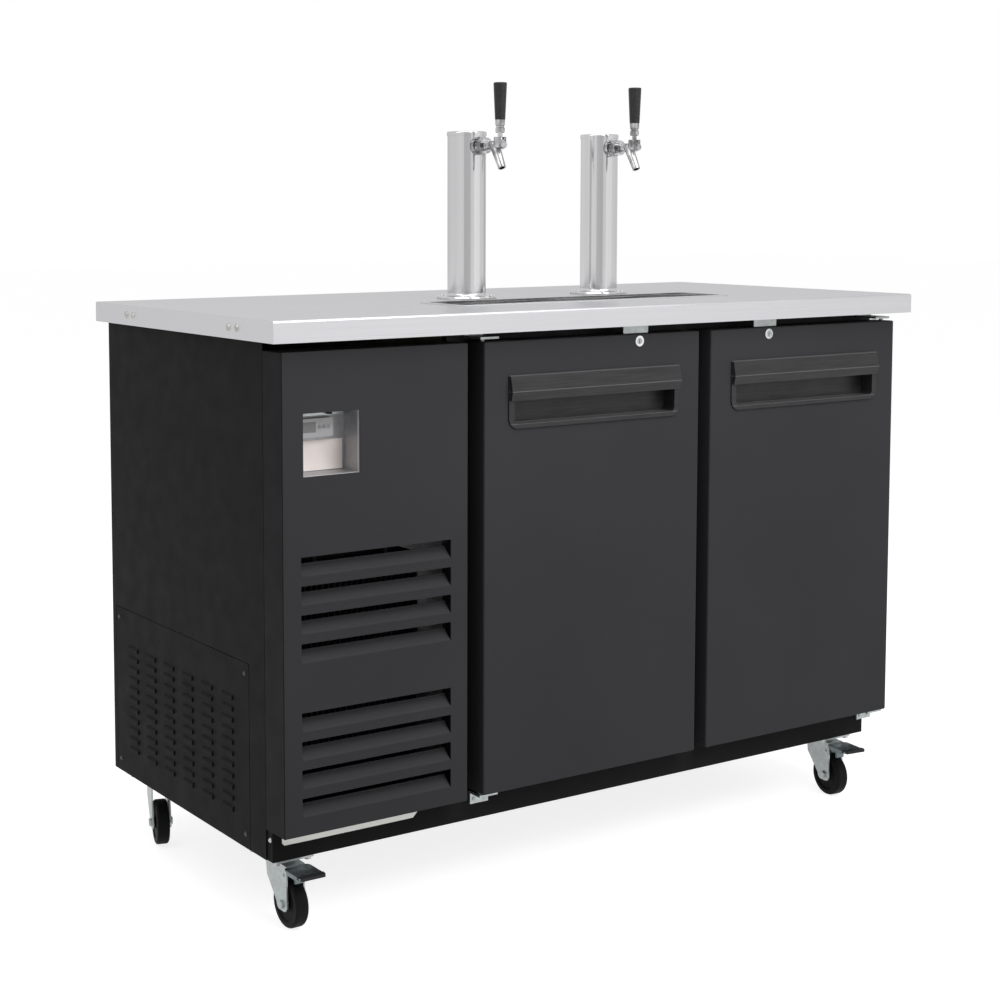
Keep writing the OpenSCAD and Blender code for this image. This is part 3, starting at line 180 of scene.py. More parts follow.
class Graph:
    """A new material with the node patterns that the finishes share."""

    NOISE_SPAN = (0.3, 0.7)
    WHOLE_SPAN = (0.0, 1.0)
    MIX_SHARE, MIX_FIRST, MIX_SECOND, MIX_RESULT = 0, 6, 7, 2

    def __init__(self, name: str) -> None:
        """Starts a material with its Principled shader.

        Args:
            name: Name of the material.
        """
        self.material = bpy.data.materials.new(name)
        self.material.use_nodes = True
        self.tree = self.material.node_tree
        self.shader = self.tree.nodes["Principled BSDF"]
        self.coordinates = self.add("TexCoord", {}).outputs["Object"]

    def add(self, kind: str, inputs: Inputs, **settings: str) -> bpy.types.Node:
        """Adds a node to the material's tree."""
        return add_node(self.tree, kind, inputs, **settings)

    def shade(self, inputs: Inputs) -> None:
        """Links or sets inputs of the shader."""
        connect(self.tree, self.shader, inputs)

    def noise(self, scale: float, stretch: Triple = EVEN, detail: float = 2.0) -> Socket:
        """A noise of about 0.3 to 0.7, by its cells per metre, its stretch for streaks and its octaves."""
        mapped = self.add("Mapping", {"Vector": self.coordinates, "Scale": stretch}).outputs["Vector"]
        return self.add("TexNoise", {"Vector": mapped, "Scale": scale, "Detail": detail}).outputs[0]

    def cells(self, scale: float) -> Socket:
        """A patchwork of cells with a random value of 0 to 1 each, such as zinc spangle."""
        patchwork = self.add("TexVoronoi", {"Vector": self.coordinates, "Scale": scale})
        return self.add("SeparateColor", {0: patchwork.outputs["Color"]}).outputs[0]

    def ranged(self, value: Socket, low: float, high: float, span: tuple[float, float] = NOISE_SPAN) -> Socket:
        """Spreads a value over a range.

        Args:
            value: The value, a noise unless a span is given.
            low: Result at the span's start.
            high: Result at the span's end.
            span: The values that are spread.

        Returns:
            The spread value.
        """
        start, end = span
        inputs = {"Value": value, "From Min": start, "From Max": end, "To Min": low, "To Max": high}
        return self.add("MapRange", inputs).outputs["Result"]

    def mix(self, share: Socket, first: Socket | Colour, second: Colour) -> None:
        """Makes the base colour a mix of two colours.

        Args:
            share: 0 for the first colour, 1 for the second.
            first: The first colour, or a socket that gives it.
            second: The second colour.
        """
        under = first if isinstance(first, Socket) else opaque(first)
        inputs = {self.MIX_SHARE: share, self.MIX_FIRST: under, self.MIX_SECOND: opaque(second)}
        self.shade({"Base Color": self.add("Mix", inputs, data_type="RGBA").outputs[self.MIX_RESULT]})

    def tint(self, value: Socket, colour: Colour, swing: float) -> None:
        """Lets the base colour fall and rise about its mean by a share, after a noise."""
        low, high = (tuple(part * share for part in colour) for share in (1 - swing, 1 + swing))
        self.mix(self.ranged(value, 0.0, 1.0), low, high)

    def repaint(self, mask: Socket, colour: Colour) -> None:
        """Covers the base colour with a second paint where a mask is 1."""
        under = self.shader.inputs["Base Color"].links[0].from_socket
        self.mix(mask, under, colour)

    def roughen(self, value: Socket, middle: float, swing: float) -> None:
        """Lets the roughness fall and rise about its mean by an amount, after a noise."""
        self.shade({"Roughness": self.ranged(value, middle - swing, middle + swing)})

    def bump(self, height: Socket, strength: float, depth: float) -> None:
        """Gives the surface a relief after a height of 0 to 1, by its strength and its depth."""
        relief = self.add("Bump", {"Height": height, "Strength": strength, "Distance": depth})
        self.shade({"Normal": relief.outputs["Normal"]})

    def slice(self, axis: Axis, middle: float, half: float) -> Socket:
        """A mask that is 1 in a slice across an axis, by its middle and half its thickness, and else 0."""
        place = self.add("SeparateXYZ", {0: self.coordinates}).outputs[axis.value]
        return self.add("Math", {0: place, 1: middle, 2: half}, operation="COMPARE").outputs[0]

    def bare(self, mask: Socket) -> None:
        """Takes the metal out of the finish where a mask is 1."""
        metallic = self.shader.inputs["Metallic"].default_value
        self.shade({"Metallic": self.ranged(mask, metallic, 0.0, self.WHOLE_SPAN)})


@dataclass(frozen=True)
class Finish:
    """A finish of the cooler: its name, the record's slot that it stands for, and its plain values."""

    name: str
    slot: str
    colour: Colour
    roughness: float
    metallic: float = 0.0
    specular: float = 0.5
    edge: float = 1.0

    def wire(self, graph: Graph) -> None:
        """Adds the finish's own detail to a material's graph."""
        raise NotImplementedError

    def make(self) -> bpy.types.Material:
        """Builds the finish's material.

        Returns:
            The new material.
        """
        graph = Graph(self.name)
        graph.shade({
            "Base Color": opaque(self.colour),
            "Roughness": self.roughness,
            "Metallic": self.metallic,
            "Specular IOR Level": self.specular,
            "Specular Tint": grey(self.edge),
        })
        graph.material.diffuse_color = opaque(self.colour)
        self.wire(graph)
        return graph.material


@dataclass(frozen=True)
class Paint(Finish):
    """Baked paint on sheet steel, with a faint orange peel."""

    drift: float = 2.4
    swing: float = 0.07
    gloss: float = 26.0
    gloss_swing: float = 0.05
    peel: float = 380.0
    relief: float = 0.10
    depth: float = 0.0002

    def wire(self, graph: Graph) -> None:
        """Adds a slow drift of tone, patches of gloss and the orange peel.

        Args:
            graph: The material's graph.
        """
        graph.tint(graph.noise(self.drift, detail=3.0), self.colour, self.swing)
        graph.roughen(graph.noise(self.gloss, detail=4.0), self.roughness, self.gloss_swing)
        graph.bump(graph.noise(self.peel), self.relief, self.depth)


@dataclass(frozen=True)
class Flanked(Paint):
    """Paint of the louvred panel, with near-black painted shade on its folded left flank."""

    flank_x: float = -0.7235
    flank_half: float = 0.0011
    flank_shade: Colour = (0.012, 0.012, 0.013)

    def wire(self, graph: Graph) -> None:
        """Adds the paint's detail and the painted shade on the flank."""
        super().wire(graph)
        # Near-black painted shade over the slice of the flank.
        graph.repaint(graph.slice(Axis.X, self.flank_x, self.flank_half), self.flank_shade)


@dataclass(frozen=True)
class Brushed(Finish):
    """Sheet metal brushed in one direction."""

    grain: Grain = Grain.ALONG_X
    streak: float = 0.06
    gloss_swing: float = 0.07
    relief: float = 0.05
    depth: float = 0.0001

    def wire(self, graph: Graph) -> None:
        """Adds brush lines to the tone, the roughness and the relief.

        Args:
            graph: The material's graph.
        """
        lines = graph.noise(1.0, self.grain.value, detail=3.0)
        graph.tint(lines, self.colour, self.streak)
        graph.roughen(lines, self.roughness, self.gloss_swing)
        graph.bump(lines, self.relief, self.depth)


@dataclass(frozen=True)
class Polished(Finish):
    """Polished tube or casting, with bands of painted reflection in its tone."""

    reflection_bands: float = 44.0
    swing: float = 0.26
    upright: float = 0.01
    gloss_swing: float = 0.04

    def wire(self, graph: Graph) -> None:
        """Adds painted reflection, in upright bands on a tube and in patches on a casting, and fine polishing
        lines.

        Args:
            graph: The material's graph.
        """
        # The noise swings the base colour into bands of painted reflection.
        graph.tint(graph.noise(self.reflection_bands, (1.0, 1.0, self.upright), detail=1.0), self.colour, self.swing)
        lines = graph.noise(1.0, Grain.ALONG_Z.value)
        graph.roughen(lines, self.roughness, self.gloss_swing)


@dataclass(frozen=True)
class Plated(Finish):
    """Zinc-plated or galvanised sheet with its spangle."""

    spangle: float = 140.0
    swing: float = 0.10
    dust: float = 60.0
    dust_swing: float = 0.08
    grit: float = 300.0
    relief: float = 0.04
    depth: float = 0.0001

    def wire(self, graph: Graph) -> None:
        """Adds the spangle's patches and a little dust.

        Args:
            graph: The material's graph.
        """
        graph.tint(graph.cells(self.spangle), self.colour, self.swing)
        graph.roughen(graph.noise(self.dust, detail=4.0), self.roughness, self.dust_swing)
        graph.bump(graph.noise(self.grit), self.relief, self.depth)


@dataclass(frozen=True)
class Overpainted(Plated):
    """Plated metal, painted over in one slice across an axis: real paint on the screws, painted shade on the
    liner's front edges and a painted highlight on the recess's rim.
    """

    axis: Axis = Axis.X
    middle: float = 0.0
    half: float = 0.001
    paint: Colour = (0.010, 0.010, 0.010)

    def wire(self, graph: Graph) -> None:
        """Adds the plating and the paint over it.

        Args:
            graph: The material's graph.
        """
        super().wire(graph)
        mask = graph.slice(self.axis, self.middle, self.half)
        graph.repaint(mask, self.paint)
        graph.bare(mask)


@dataclass(frozen=True)
class Mottled(Finish):
    """Steel with dark and bright patches of painted reflection in its colour."""

    patch: float = 16.0
    stretch: Triple = (0.6, 2.0, 1.0)
    swing: float = 0.85
    gloss_swing: float = 0.08

    def wire(self, graph: Graph) -> None:
        """Adds the patches of painted reflection and brush lines."""
        graph.tint(graph.noise(self.patch, self.stretch, detail=3.0), self.colour, self.swing)
        graph.roughen(graph.noise(1.0, Grain.ALONG_Y.value, detail=3.0), self.roughness, self.gloss_swing)


@dataclass(frozen=True)
class Moulded(Finish):
    """Moulded plastic with a fine grain."""

    drift: float = 9.0
    swing: float = 0.10
    gloss: float = 40.0
    gloss_swing: float = 0.05
    texture: float = 700.0
    relief: float = 0.12
    depth: float = 0.0002

    def wire(self, graph: Graph) -> None:
        """Adds a drift of tone and of gloss, and the mould's grain.

        Args:
            graph: The material's graph.
        """
        graph.tint(graph.noise(self.drift, detail=3.0), self.colour, self.swing)
        graph.roughen(graph.noise(self.gloss, detail=3.0), self.roughness, self.gloss_swing)
        graph.bump(graph.noise(self.texture), self.relief, self.depth)


@dataclass(frozen=True)
class Streaked(Finish):
    """Moulded plastic with level streaks pressed into it, for grip."""

    pitch: float = 260.0
    run: float = 14.0
    swing: float = 0.35
    gloss: float = 40.0
    gloss_swing: float = 0.06
    relief: float = 0.35
    depth: float = 0.0006

    def wire(self, graph: Graph) -> None:
        """Adds level streaks to the tone and the relief.

        Args:
            graph: The material's graph.
        """
        lines = graph.noise(1.0, (self.run, self.pitch, self.pitch))
        graph.tint(lines, self.colour, self.swing)
        graph.roughen(graph.noise(self.gloss, detail=3.0), self.roughness, self.gloss_swing)
        graph.bump(lines, self.relief, self.depth)


@dataclass(frozen=True)
class EdgeHighlighted(Streaked):
    """The door handles' moulding, with pale painted highlights along the edges of its lip and recess."""

    edges: tuple[float, ...] = (0.9376, 0.9092, 0.8502)
    half: float = 0.0009
    painted_highlight: Colour = (0.085, 0.085, 0.088)

    def wire(self, graph: Graph) -> None:
        """Adds the streaks and the painted highlight lines.

        Args:
            graph: The material's graph.
        """
        super().wire(graph)
        # Each height in edges gets a thin pale band of painted highlight on an edge of the handle.
        for height in self.edges:
            graph.repaint(graph.slice(Axis.Z, height, self.half), self.painted_highlight)


@dataclass(frozen=True)
class Foam(Finish):
    """Rigid foam with open cells at its cut faces, painted where it shows in front of the door frame."""

    patch: float = 18.0
    swing: float = 0.12
    cell: float = 260.0
    relief: float = 0.35
    depth: float = 0.0006
    painted_y: float = -0.300
    painted_half: float = 0.0315
    paint: Colour = (0.014, 0.014, 0.014)

    def wire(self, graph: Graph) -> None:
        """Adds patches of tone, the cells and the painted front.

        Args:
            graph: The material's graph.
        """
        graph.tint(graph.noise(self.patch, detail=4.0), self.colour, self.swing)
        graph.bump(graph.cells(self.cell), self.relief, self.depth)
        graph.repaint(graph.slice(Axis.Y, self.painted_y, self.painted_half), self.paint)


CHARCOAL = Paint("charcoal_paint", "charcoal_steel", (0.042, 0.042, 0.0455), 0.48, specular=0.05)
# The louvred panel gets painted shade on its left flank.
PANEL = Flanked("panel_paint_flank_shade", "charcoal_steel", CHARCOAL.colour, 0.48, specular=0.05)
BLACK = Paint("black_paint", "black_steel", (0.014, 0.014, 0.014), 0.55, specular=0.045)
MACHINE = Paint("machine_paint", "machine_black", (0.010, 0.010, 0.011), 0.34, specular=0.3)
COVER = Paint("white_cover_paint", "cover_white", (0.68, 0.69, 0.70), 0.40)
STAINLESS = Brushed("brushed_counter", "stainless", (0.66, 0.66, 0.68), 0.34, metallic=1.0, edge=0.75, streak=0.03)
# The drip grille's dark and bright patches are painted reflection.
GRILLE = Mottled("satin_grille_painted_reflection", "grille_steel", (0.23, 0.23, 0.23), 0.50, metallic=1.0, edge=0.25)
# The chrome finishes carry bands and patches of painted reflection in their colour, besides the cards' real
# reflections.
CHROME = Polished("polished_chrome", "chrome", (0.68, 0.68, 0.69), 0.14, metallic=1.0, edge=0.85)
TUBE = Polished("column_chrome", "chrome", (0.66, 0.66, 0.67), 0.12, metallic=1.0, edge=0.80, swing=0.07)
FAUCET = Polished(
    "faucet_chrome", "chrome", (0.44, 0.44, 0.45), 0.13, metallic=1.0, edge=0.7, reflection_bands=75.0, swing=0.5, upright=0.7
)
BARE = Brushed("bare_strip", "bare_metal", (0.62, 0.62, 0.59), 0.42, metallic=0.7)
# The coil fins are near-black partly as black-painted fins and partly as painted shade for the dark machine
# compartment seen through the vent.
FINS = Brushed("coil_fins", "coil_aluminium", (0.022, 0.022, 0.024), 0.60, metallic=0.5, grain=Grain.ALONG_Z)
COPPER = Brushed("copper_tube", "copper", (0.55, 0.24, 0.11), 0.34, metallic=1.0, grain=Grain.ALONG_Y)
ZINC = Plated("zinc_plate", "zinc", (0.44, 0.47, 0.47), 0.36, metallic=0.85, swing=0.05)
SCREWS = Overpainted("plated_screws", "zinc", (0.50, 0.49, 0.46), 0.36, metallic=0.8, middle=-0.725, half=0.0012)
PEDAL = Plated("pedal_plate", "zinc", (0.16, 0.19, 0.20), 0.30, metallic=0.9)
# Near-black painted shade on the liner's front edges, where they show in the gaps at the door frame.
LINER_EDGE_SHADED = Overpainted(
    "galvanised_liner_edge_shade", "liner", (0.50, 0.50, 0.51), 0.40, metallic=0.7, spangle=90.0, swing=0.035,
    axis=Axis.Y, middle=-0.285, half=0.030,
)
# A pale, non-metal painted highlight along the recess's front rim, which also stands for a bare cut edge.
RECESS_RIM_HIGHLIGHT = Overpainted(
    "galvanised_recess_rim_highlight", "liner", (0.39, 0.39, 0.40), 0.40, metallic=0.7, swing=0.04,
    axis=Axis.Y, middle=-0.3295, half=0.0035, paint=(0.60, 0.60, 0.60),
)
TRIM = Moulded("black_trim", "black_trim", (0.010, 0.010, 0.011), 0.55, specular=0.3)
DOOR_LINER = Moulded("door_liner", "door_liner", (0.56, 0.57, 0.58), 0.42)
HANDLE = Streaked("black_handle", "handle_black", (0.016, 0.016, 0.017), 0.40, specular=0.35)
# The door handles carry painted highlight lines on their edges.
DOOR_HANDLE = EdgeHighlighted("handle_painted_highlights", "handle_black", (0.018, 0.018, 0.019), 0.40, specular=0.35)
CONTROL = Moulded("control_case", "control_grey", (0.46, 0.45, 0.46), 0.38)
FAN = Moulded("fan_moulding", "fan_plastic", (0.03, 0.03, 0.032), 0.45)
GASKET = Moulded("soft_gasket", "gasket", (0.03, 0.03, 0.033), 0.62, texture=500.0, relief=0.06)
RUBBER = Moulded("wheel_rubber", "wheel_rubber", (0.008, 0.008, 0.009), 0.60, specular=0.1, texture=420.0)
FOAM = Foam("rigid_foam", "foam", (0.70, 0.62, 0.35), 0.85)
PLATE = Moulded("setting_plate", "door_liner", (0.95, 0.865, 0.83), 0.45)
LENS = Moulded("display_lens", "control_grey", (0.22, 0.22, 0.225), 0.22, texture=900.0, relief=0.01)
KEY = Moulded("control_key", "control_grey", (0.30, 0.30, 0.30), 0.40)

SLOT_FINISHES = (
    CHARCOAL, BLACK, MACHINE, COVER, STAINLESS, GRILLE, CHROME, BARE, FINS, COPPER, ZINC, LINER_EDGE_SHADED, TRIM, DOOR_LINER,
    HANDLE, CONTROL, FAN, GASKET, RUBBER, FOAM,
)


class Paintshop:
    """Makes each finish once and puts it on nodes and new pieces."""

    def __init__(self) -> None:
        """Starts with no material made."""
        self.made: dict[str, bpy.types.Material] = {}

    def coat(self, piece: bpy.types.Object, finish: Finish) -> None:
        """Puts one finish all over a piece.

        Args:
            piece: A node's object or a new piece.
            finish: The finish, whose material is made on first use.
        """
        if finish.name not in self.made:
            self.made[finish.name] = finish.make()
        piece.data.materials.clear()
        piece.data.materials.append(self.made[finish.name])

    def coat_nodes(self, frame: dict) -> None:
        """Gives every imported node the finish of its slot.

        Args:
            frame: What the frame's loader returned.
        """
        by_slot = {finish.slot: finish for finish in SLOT_FINISHES}
        for part in frame["record"]["subparts"]:
            self.coat(frame["nodes"][part["node"]], by_slot[part["material_slot"]])
            LOG.info("finished %s as %s", part["node"], part["material_slot"])


class Bench:
    """The mesh operators, as they are used by hand, on one piece at a time."""

    def __init__(self, shop: Paintshop, frame: dict) -> None:
        """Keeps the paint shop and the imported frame.

        Args:
            shop: Where pieces get their finish.
            frame: What the frame's loader returned.
        """
        self.shop = shop
        self.nodes = frame["nodes"]
        self.joints = {joint["name"]: joint for joint in frame["record"]["behaviour"]["joints"]}

    @staticmethod
    def take(piece: bpy.types.Object | None) -> None:
        """Selects one piece alone, or nothing.

        Args:
            piece: The piece, or None.
        """
        bpy.ops.object.select_all(action="DESELECT")
        if piece is not None:
            piece.select_set(True)
            bpy.context.view_layer.objects.active = piece

    @contextmanager
    def editing(self, piece: bpy.types.Object, test: FaceTest | None = None) -> Iterator[None]:
        """Opens a piece in edit mode with some faces selected.

        Args:
            piece: The piece.
            test: Takes a face's normal and centre and says whether it is selected; all faces if left out.

        Yields:
            Nothing; edit mode ends with the block.
        """
        self.take(piece)
        bpy.context.tool_settings.mesh_select_mode = (False, False, True)
        mesh = piece.data
        chosen = [test is None or test(face.normal, face.center) for face in mesh.polygons]
        mesh.vertices.foreach_set("select", [False] * len(mesh.vertices))
        mesh.edges.foreach_set("select", [False] * len(mesh.edges))
        mesh.polygons.foreach_set("select", chosen)
        bpy.ops.object.mode_set(mode="EDIT")
        try:
            yield
        finally:
            bpy.ops.object.mode_set(mode="OBJECT")

    @staticmethod
    def settle(name: str) -> bpy.types.Object:
        """Names the new primitive and puts its place in its mesh.

        Args:
            name: Name of the piece.

        Returns:
            The piece, at the origin.
        """
        piece = bpy.context.active_object
        bpy.ops.object.transform_apply(location=True, rotation=True, scale=True)
        piece.name = piece.data.name = name
        return piece

    def block(self, name: str, low: Vector, high: Vector) -> bpy.types.Object:
        """A box to start a piece from.

        Args:
            name: Name of the piece.
            low: Lowest corner.
            high: Highest corner.

        Returns:
            The box.
        """
        self.take(None)
        bpy.ops.mesh.primitive_cube_add(size=1.0, location=(low + high) / 2)
        bpy.context.active_object.scale = high - low
        return self.settle(name)

    def drum(self, name: str, centre: Vector, radius: float, depth: float, sides: int = 24) -> bpy.types.Object:
        """A short cylinder along Y to start a round piece from.

        Args:
            name: Name of the piece.
            centre: Its middle.
            radius: Its radius.
            depth: Its length.
            sides: Its corners.

        Returns:
            The cylinder.
        """
        self.take(None)
        bpy.ops.mesh.primitive_cylinder_add(
            vertices=sides, radius=radius, depth=depth, location=centre, rotation=(math.pi / 2, 0.0, 0.0)
        )
        return self.settle(name)

    def cut(self, piece: bpy.types.Object, axis: Axis, place: float) -> None:
        """Cuts a line round a piece, across an axis.

        Args:
            piece: The piece.
            axis: The axis.
            place: Where along the axis.
        """
        normal = Vector((0.0, 0.0, 0.0))
        normal[axis.value] = 1.0
        with self.editing(piece):
            bpy.ops.mesh.bisect(plane_co=normal * place, plane_no=normal)

    def remove(self, piece: bpy.types.Object, test: FaceTest) -> None:
        """Deletes the faces that a test picks."""
        with self.editing(piece, test):
            bpy.ops.mesh.delete(type="FACE")

    def sink(self, piece: bpy.types.Object, test: FaceTest, rim: float, slope: float, depth: float) -> None:
        """Leaves a rim on the faces that a test picks and sinks what it encloses.

        Args:
            piece: The piece.
            test: Takes a face's normal and centre.
            rim: Width of the rim.
            slope: Width of the slope inside it.
            depth: How deep the middle lies.
        """
        with self.editing(piece, test):
            bpy.ops.mesh.inset(thickness=rim)
            bpy.ops.mesh.inset(thickness=slope, depth=-depth)

    def modify(self, piece: bpy.types.Object, kind: str, **settings: object) -> None:
        """Adds a modifier and applies it.

        Args:
            piece: The piece.
            kind: The modifier's type.
            settings: Its settings.
        """
        self.take(piece)
        modifier = piece.modifiers.new(kind.lower(), kind)
        for key, value in settings.items():
            setattr(modifier, key, value)
        bpy.ops.object.modifier_apply(modifier=modifier.name)

    def turn(self, piece: bpy.types.Object, angle: float, centre: Vector) -> None:
        """Turns a piece about an upright line, in its mesh.

        Args:
            piece: The piece.
            angle: Angle in radians, anticlockwise from above.
            centre: A point on the line.
        """
        with self.editing(piece):
            # With no window the operator turns the other way.
            bpy.ops.transform.rotate(value=-angle, orient_axis="Z", orient_type="GLOBAL", center_override=centre)

    def bevel(self, piece: bpy.types.Object, width: float, segments: int) -> None:
        """Rounds every sharp edge of a piece."""
        self.modify(piece, "BEVEL", width=width, segments=segments, limit_method="ANGLE", angle_limit=SHARP_ANGLE)

    def smooth(self, piece: bpy.types.Object) -> None:
        """Shades a piece smooth, apart from its sharp edges.

        Args:
            piece: The piece.
        """
        self.take(piece)
        bpy.ops.object.shade_smooth_by_angle(angle=SHARP_ANGLE)
        self.modify(piece, "WEIGHTED_NORMAL", keep_sharp=True)

    def round_edges(self, piece: bpy.types.Object, width: float, segments: int = EDGE_STEPS) -> None:
        """Rounds every sharp edge of a piece and smooths the rounding."""
        self.bevel(piece, width, segments)
        self.smooth(piece)

    def deliver(self, piece: bpy.types.Object, body: str, finish: Finish) -> None:
        """Finishes a new piece and puts it on its body.

        Args:
            piece: The piece.
            body: The body that it moves with.
            finish: Its finish.
        """
        self.shop.coat(piece, finish)
        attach(piece, body)
        LOG.info("built %s on %s", piece.name, body)

    def recoat(self, finish: Finish, *names: str) -> None:
        """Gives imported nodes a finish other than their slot's."""
        for name in names:
            self.shop.coat(self.nodes[name], finish)

    def soften(self, width: float, *names: str) -> None:
        """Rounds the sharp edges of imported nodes, without touching their meshes.

        Args:
            width: Width of the rounding.
            names: The nodes.
        """
        for name in names:
            modifiers = self.nodes[name].modifiers
            weld = modifiers.new("weld", "WELD")
            weld.merge_threshold = WELD_GAP
            bevel = modifiers.new("edges", "BEVEL")
            bevel.width = width
            bevel.segments = EDGE_STEPS
            bevel.limit_method = "ANGLE"
            bevel.angle_limit = SHARP_ANGLE
            shading = modifiers.new("shading", "WEIGHTED_NORMAL")
            shading.keep_sharp = True


@dataclass
class Assembly:
    """A group of the cooler's pieces, with the bench that they are made on."""

    bench: Bench

    def build(self) -> None:
        """Makes the group's new pieces and dresses its nodes."""
        raise NotImplementedError


@dataclass
class VentCover(Assembly):
    """Pressed hoods over the slots of the side cover, and the flange behind its upper seam."""

    columns: int = 6
    rows: int = 11
    first_y: float = 0.079
    first_z: float = 0.055
    pitch_z: float = 0.020
    hood_length: float = 0.040
    hood_radius: float = 0.0065
    hood_sides: int = 20
    hood_lip: float = 0.4
    hood_flat: float = 0.45
    wall: float = 0.0007
    flange_low: float = 0.010
    flange_high: float = 0.008
    flange_thick: float = 0.001
    flange_lean: Triple = (0.002, 0.0, 0.004)
    flange_edge: float = 0.0003

    def hoods(self) -> None:
        """Half-open hoods, one over each slot, modelled once and repeated."""
        bench = self.bench
        low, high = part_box("side_vent_cover")
        centre = Vector((low.x, low.y + self.first_y, low.z + self.first_z))
        lip = centre - Vector((0.0, 0.0, self.hood_radius * self.hood_lip))
        pitch_y = (high.y - low.y - 2 * self.first_y) / (self.columns - 1)
        hood = bench.drum("vent_hoods", centre, self.hood_radius, self.hood_length, self.hood_sides)
        with bench.editing(hood):
            bpy.ops.mesh.bisect(plane_co=centre, plane_no=(1.0, 0.0, 0.0), clear_outer=True)
        with bench.editing(hood):
            bpy.ops.mesh.bisect(plane_co=lip, plane_no=(0.0, 0.0, 1.0), clear_inner=True)
        with bench.editing(hood):
            bpy.ops.transform.resize(value=(self.hood_flat, 1.0, 1.0), center_override=centre)
        bench.modify(hood, "SOLIDIFY", thickness=self.wall, offset=-1.0)
        for count, step in ((self.rows, (0.0, 0.0, self.pitch_z)), (self.columns, (0.0, pitch_y, 0.0))):
            bench.modify(
                hood, "ARRAY", count=count, use_relative_offset=False, use_constant_offset=True,
                constant_offset_displace=step,
            )
        bench.smooth(hood)
        bench.deliver(hood, "cabinet", BLACK)

    def flange(self) -> None:
        """The cover's folded flange, which stands behind the shell's edge."""
        low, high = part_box("side_vent_cover")
        foot = Vector((high.x, low.y, high.z - self.flange_low))
        top = Vector((high.x + self.flange_thick, high.y, high.z + self.flange_high))
        flange = self.bench.block("vent_flange", foot, top)
        with self.bench.editing(flange, faces_up):
            bpy.ops.mesh.extrude_region_move(TRANSFORM_OT_translate={"value": self.flange_lean})
        self.bench.round_edges(flange, self.flange_edge)
        self.bench.deliver(flange, "cabinet", BLACK)

    def build(self) -> None:
        """Adds the hoods and the flange."""
        self.hoods()
        self.flange()


@dataclass
class Cabinet(Assembly):
    """The painted shell, its countertop and the screws of its hinges."""

    sheet_edge: float = 0.0008
    counter_edge: float = 0.0012
    bracket_thick: float = 0.004
    bracket_width: float = 0.040
    screw_radius: float = 0.0035
    screw_height: float = 0.0016
    screw_inset: float = 0.009
    screw_rise: float = 0.0085
    screw_edge: float = 0.0003
    rim_share: float = 0.45
    slope_share: float = 0.10
    depth_share: float = 0.5

    SHEETS = ("base_frame", "side_panels", "back_panel", "front_grille_panel", "control_recess",
              "panel_bracket", "strike_plates", "hinge_brackets", "door_frame")

    def screw(self, name: str, seat: Vector) -> None:
        """One pan-head screw with a round recess, on a face that looks to the front.

        Args:
            name: Name of the screw.
            seat: Middle of the head's seat.
        """
        centre = seat - Vector((0.0, self.screw_height / 2, 0.0))
        head = self.bench.drum(name, centre, self.screw_radius, self.screw_height)
        rim, slope = self.screw_radius * self.rim_share, self.screw_radius * self.slope_share
        self.bench.sink(head, faces_front, rim, slope, self.screw_height * self.depth_share)
        self.bench.round_edges(head, self.screw_edge)
        self.bench.deliver(head, "cabinet", ZINC)

    def hinge_screws(self) -> None:
        """Two screws on the front of each lower hinge bracket."""
        low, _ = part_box("hinge_brackets")
        base_low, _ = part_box("base_frame")
        face_y = base_low.y - self.bracket_thick
        for side in Side:
            door_low, door_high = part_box(f"door_skin_{side.value}")
            for number, inset in enumerate((self.screw_inset, self.bracket_width - self.screw_inset), 1):
                x = door_low.x + inset if side is Side.LEFT else door_high.x - inset
                self.screw(f"hinge_screw_{side.value}_{number}", Vector((x, face_y, low.z + self.screw_rise)))

    def build(self) -> None:
        """Softens the sheets, adds the screws and finishes the screws and the louvred panel."""
        self.bench.soften(self.sheet_edge, *self.SHEETS)
        self.bench.soften(self.counter_edge, "countertop")
        self.hinge_screws()
        self.bench.recoat(SCREWS, "cabinet_screws")
        self.bench.recoat(PANEL, "front_grille_panel")


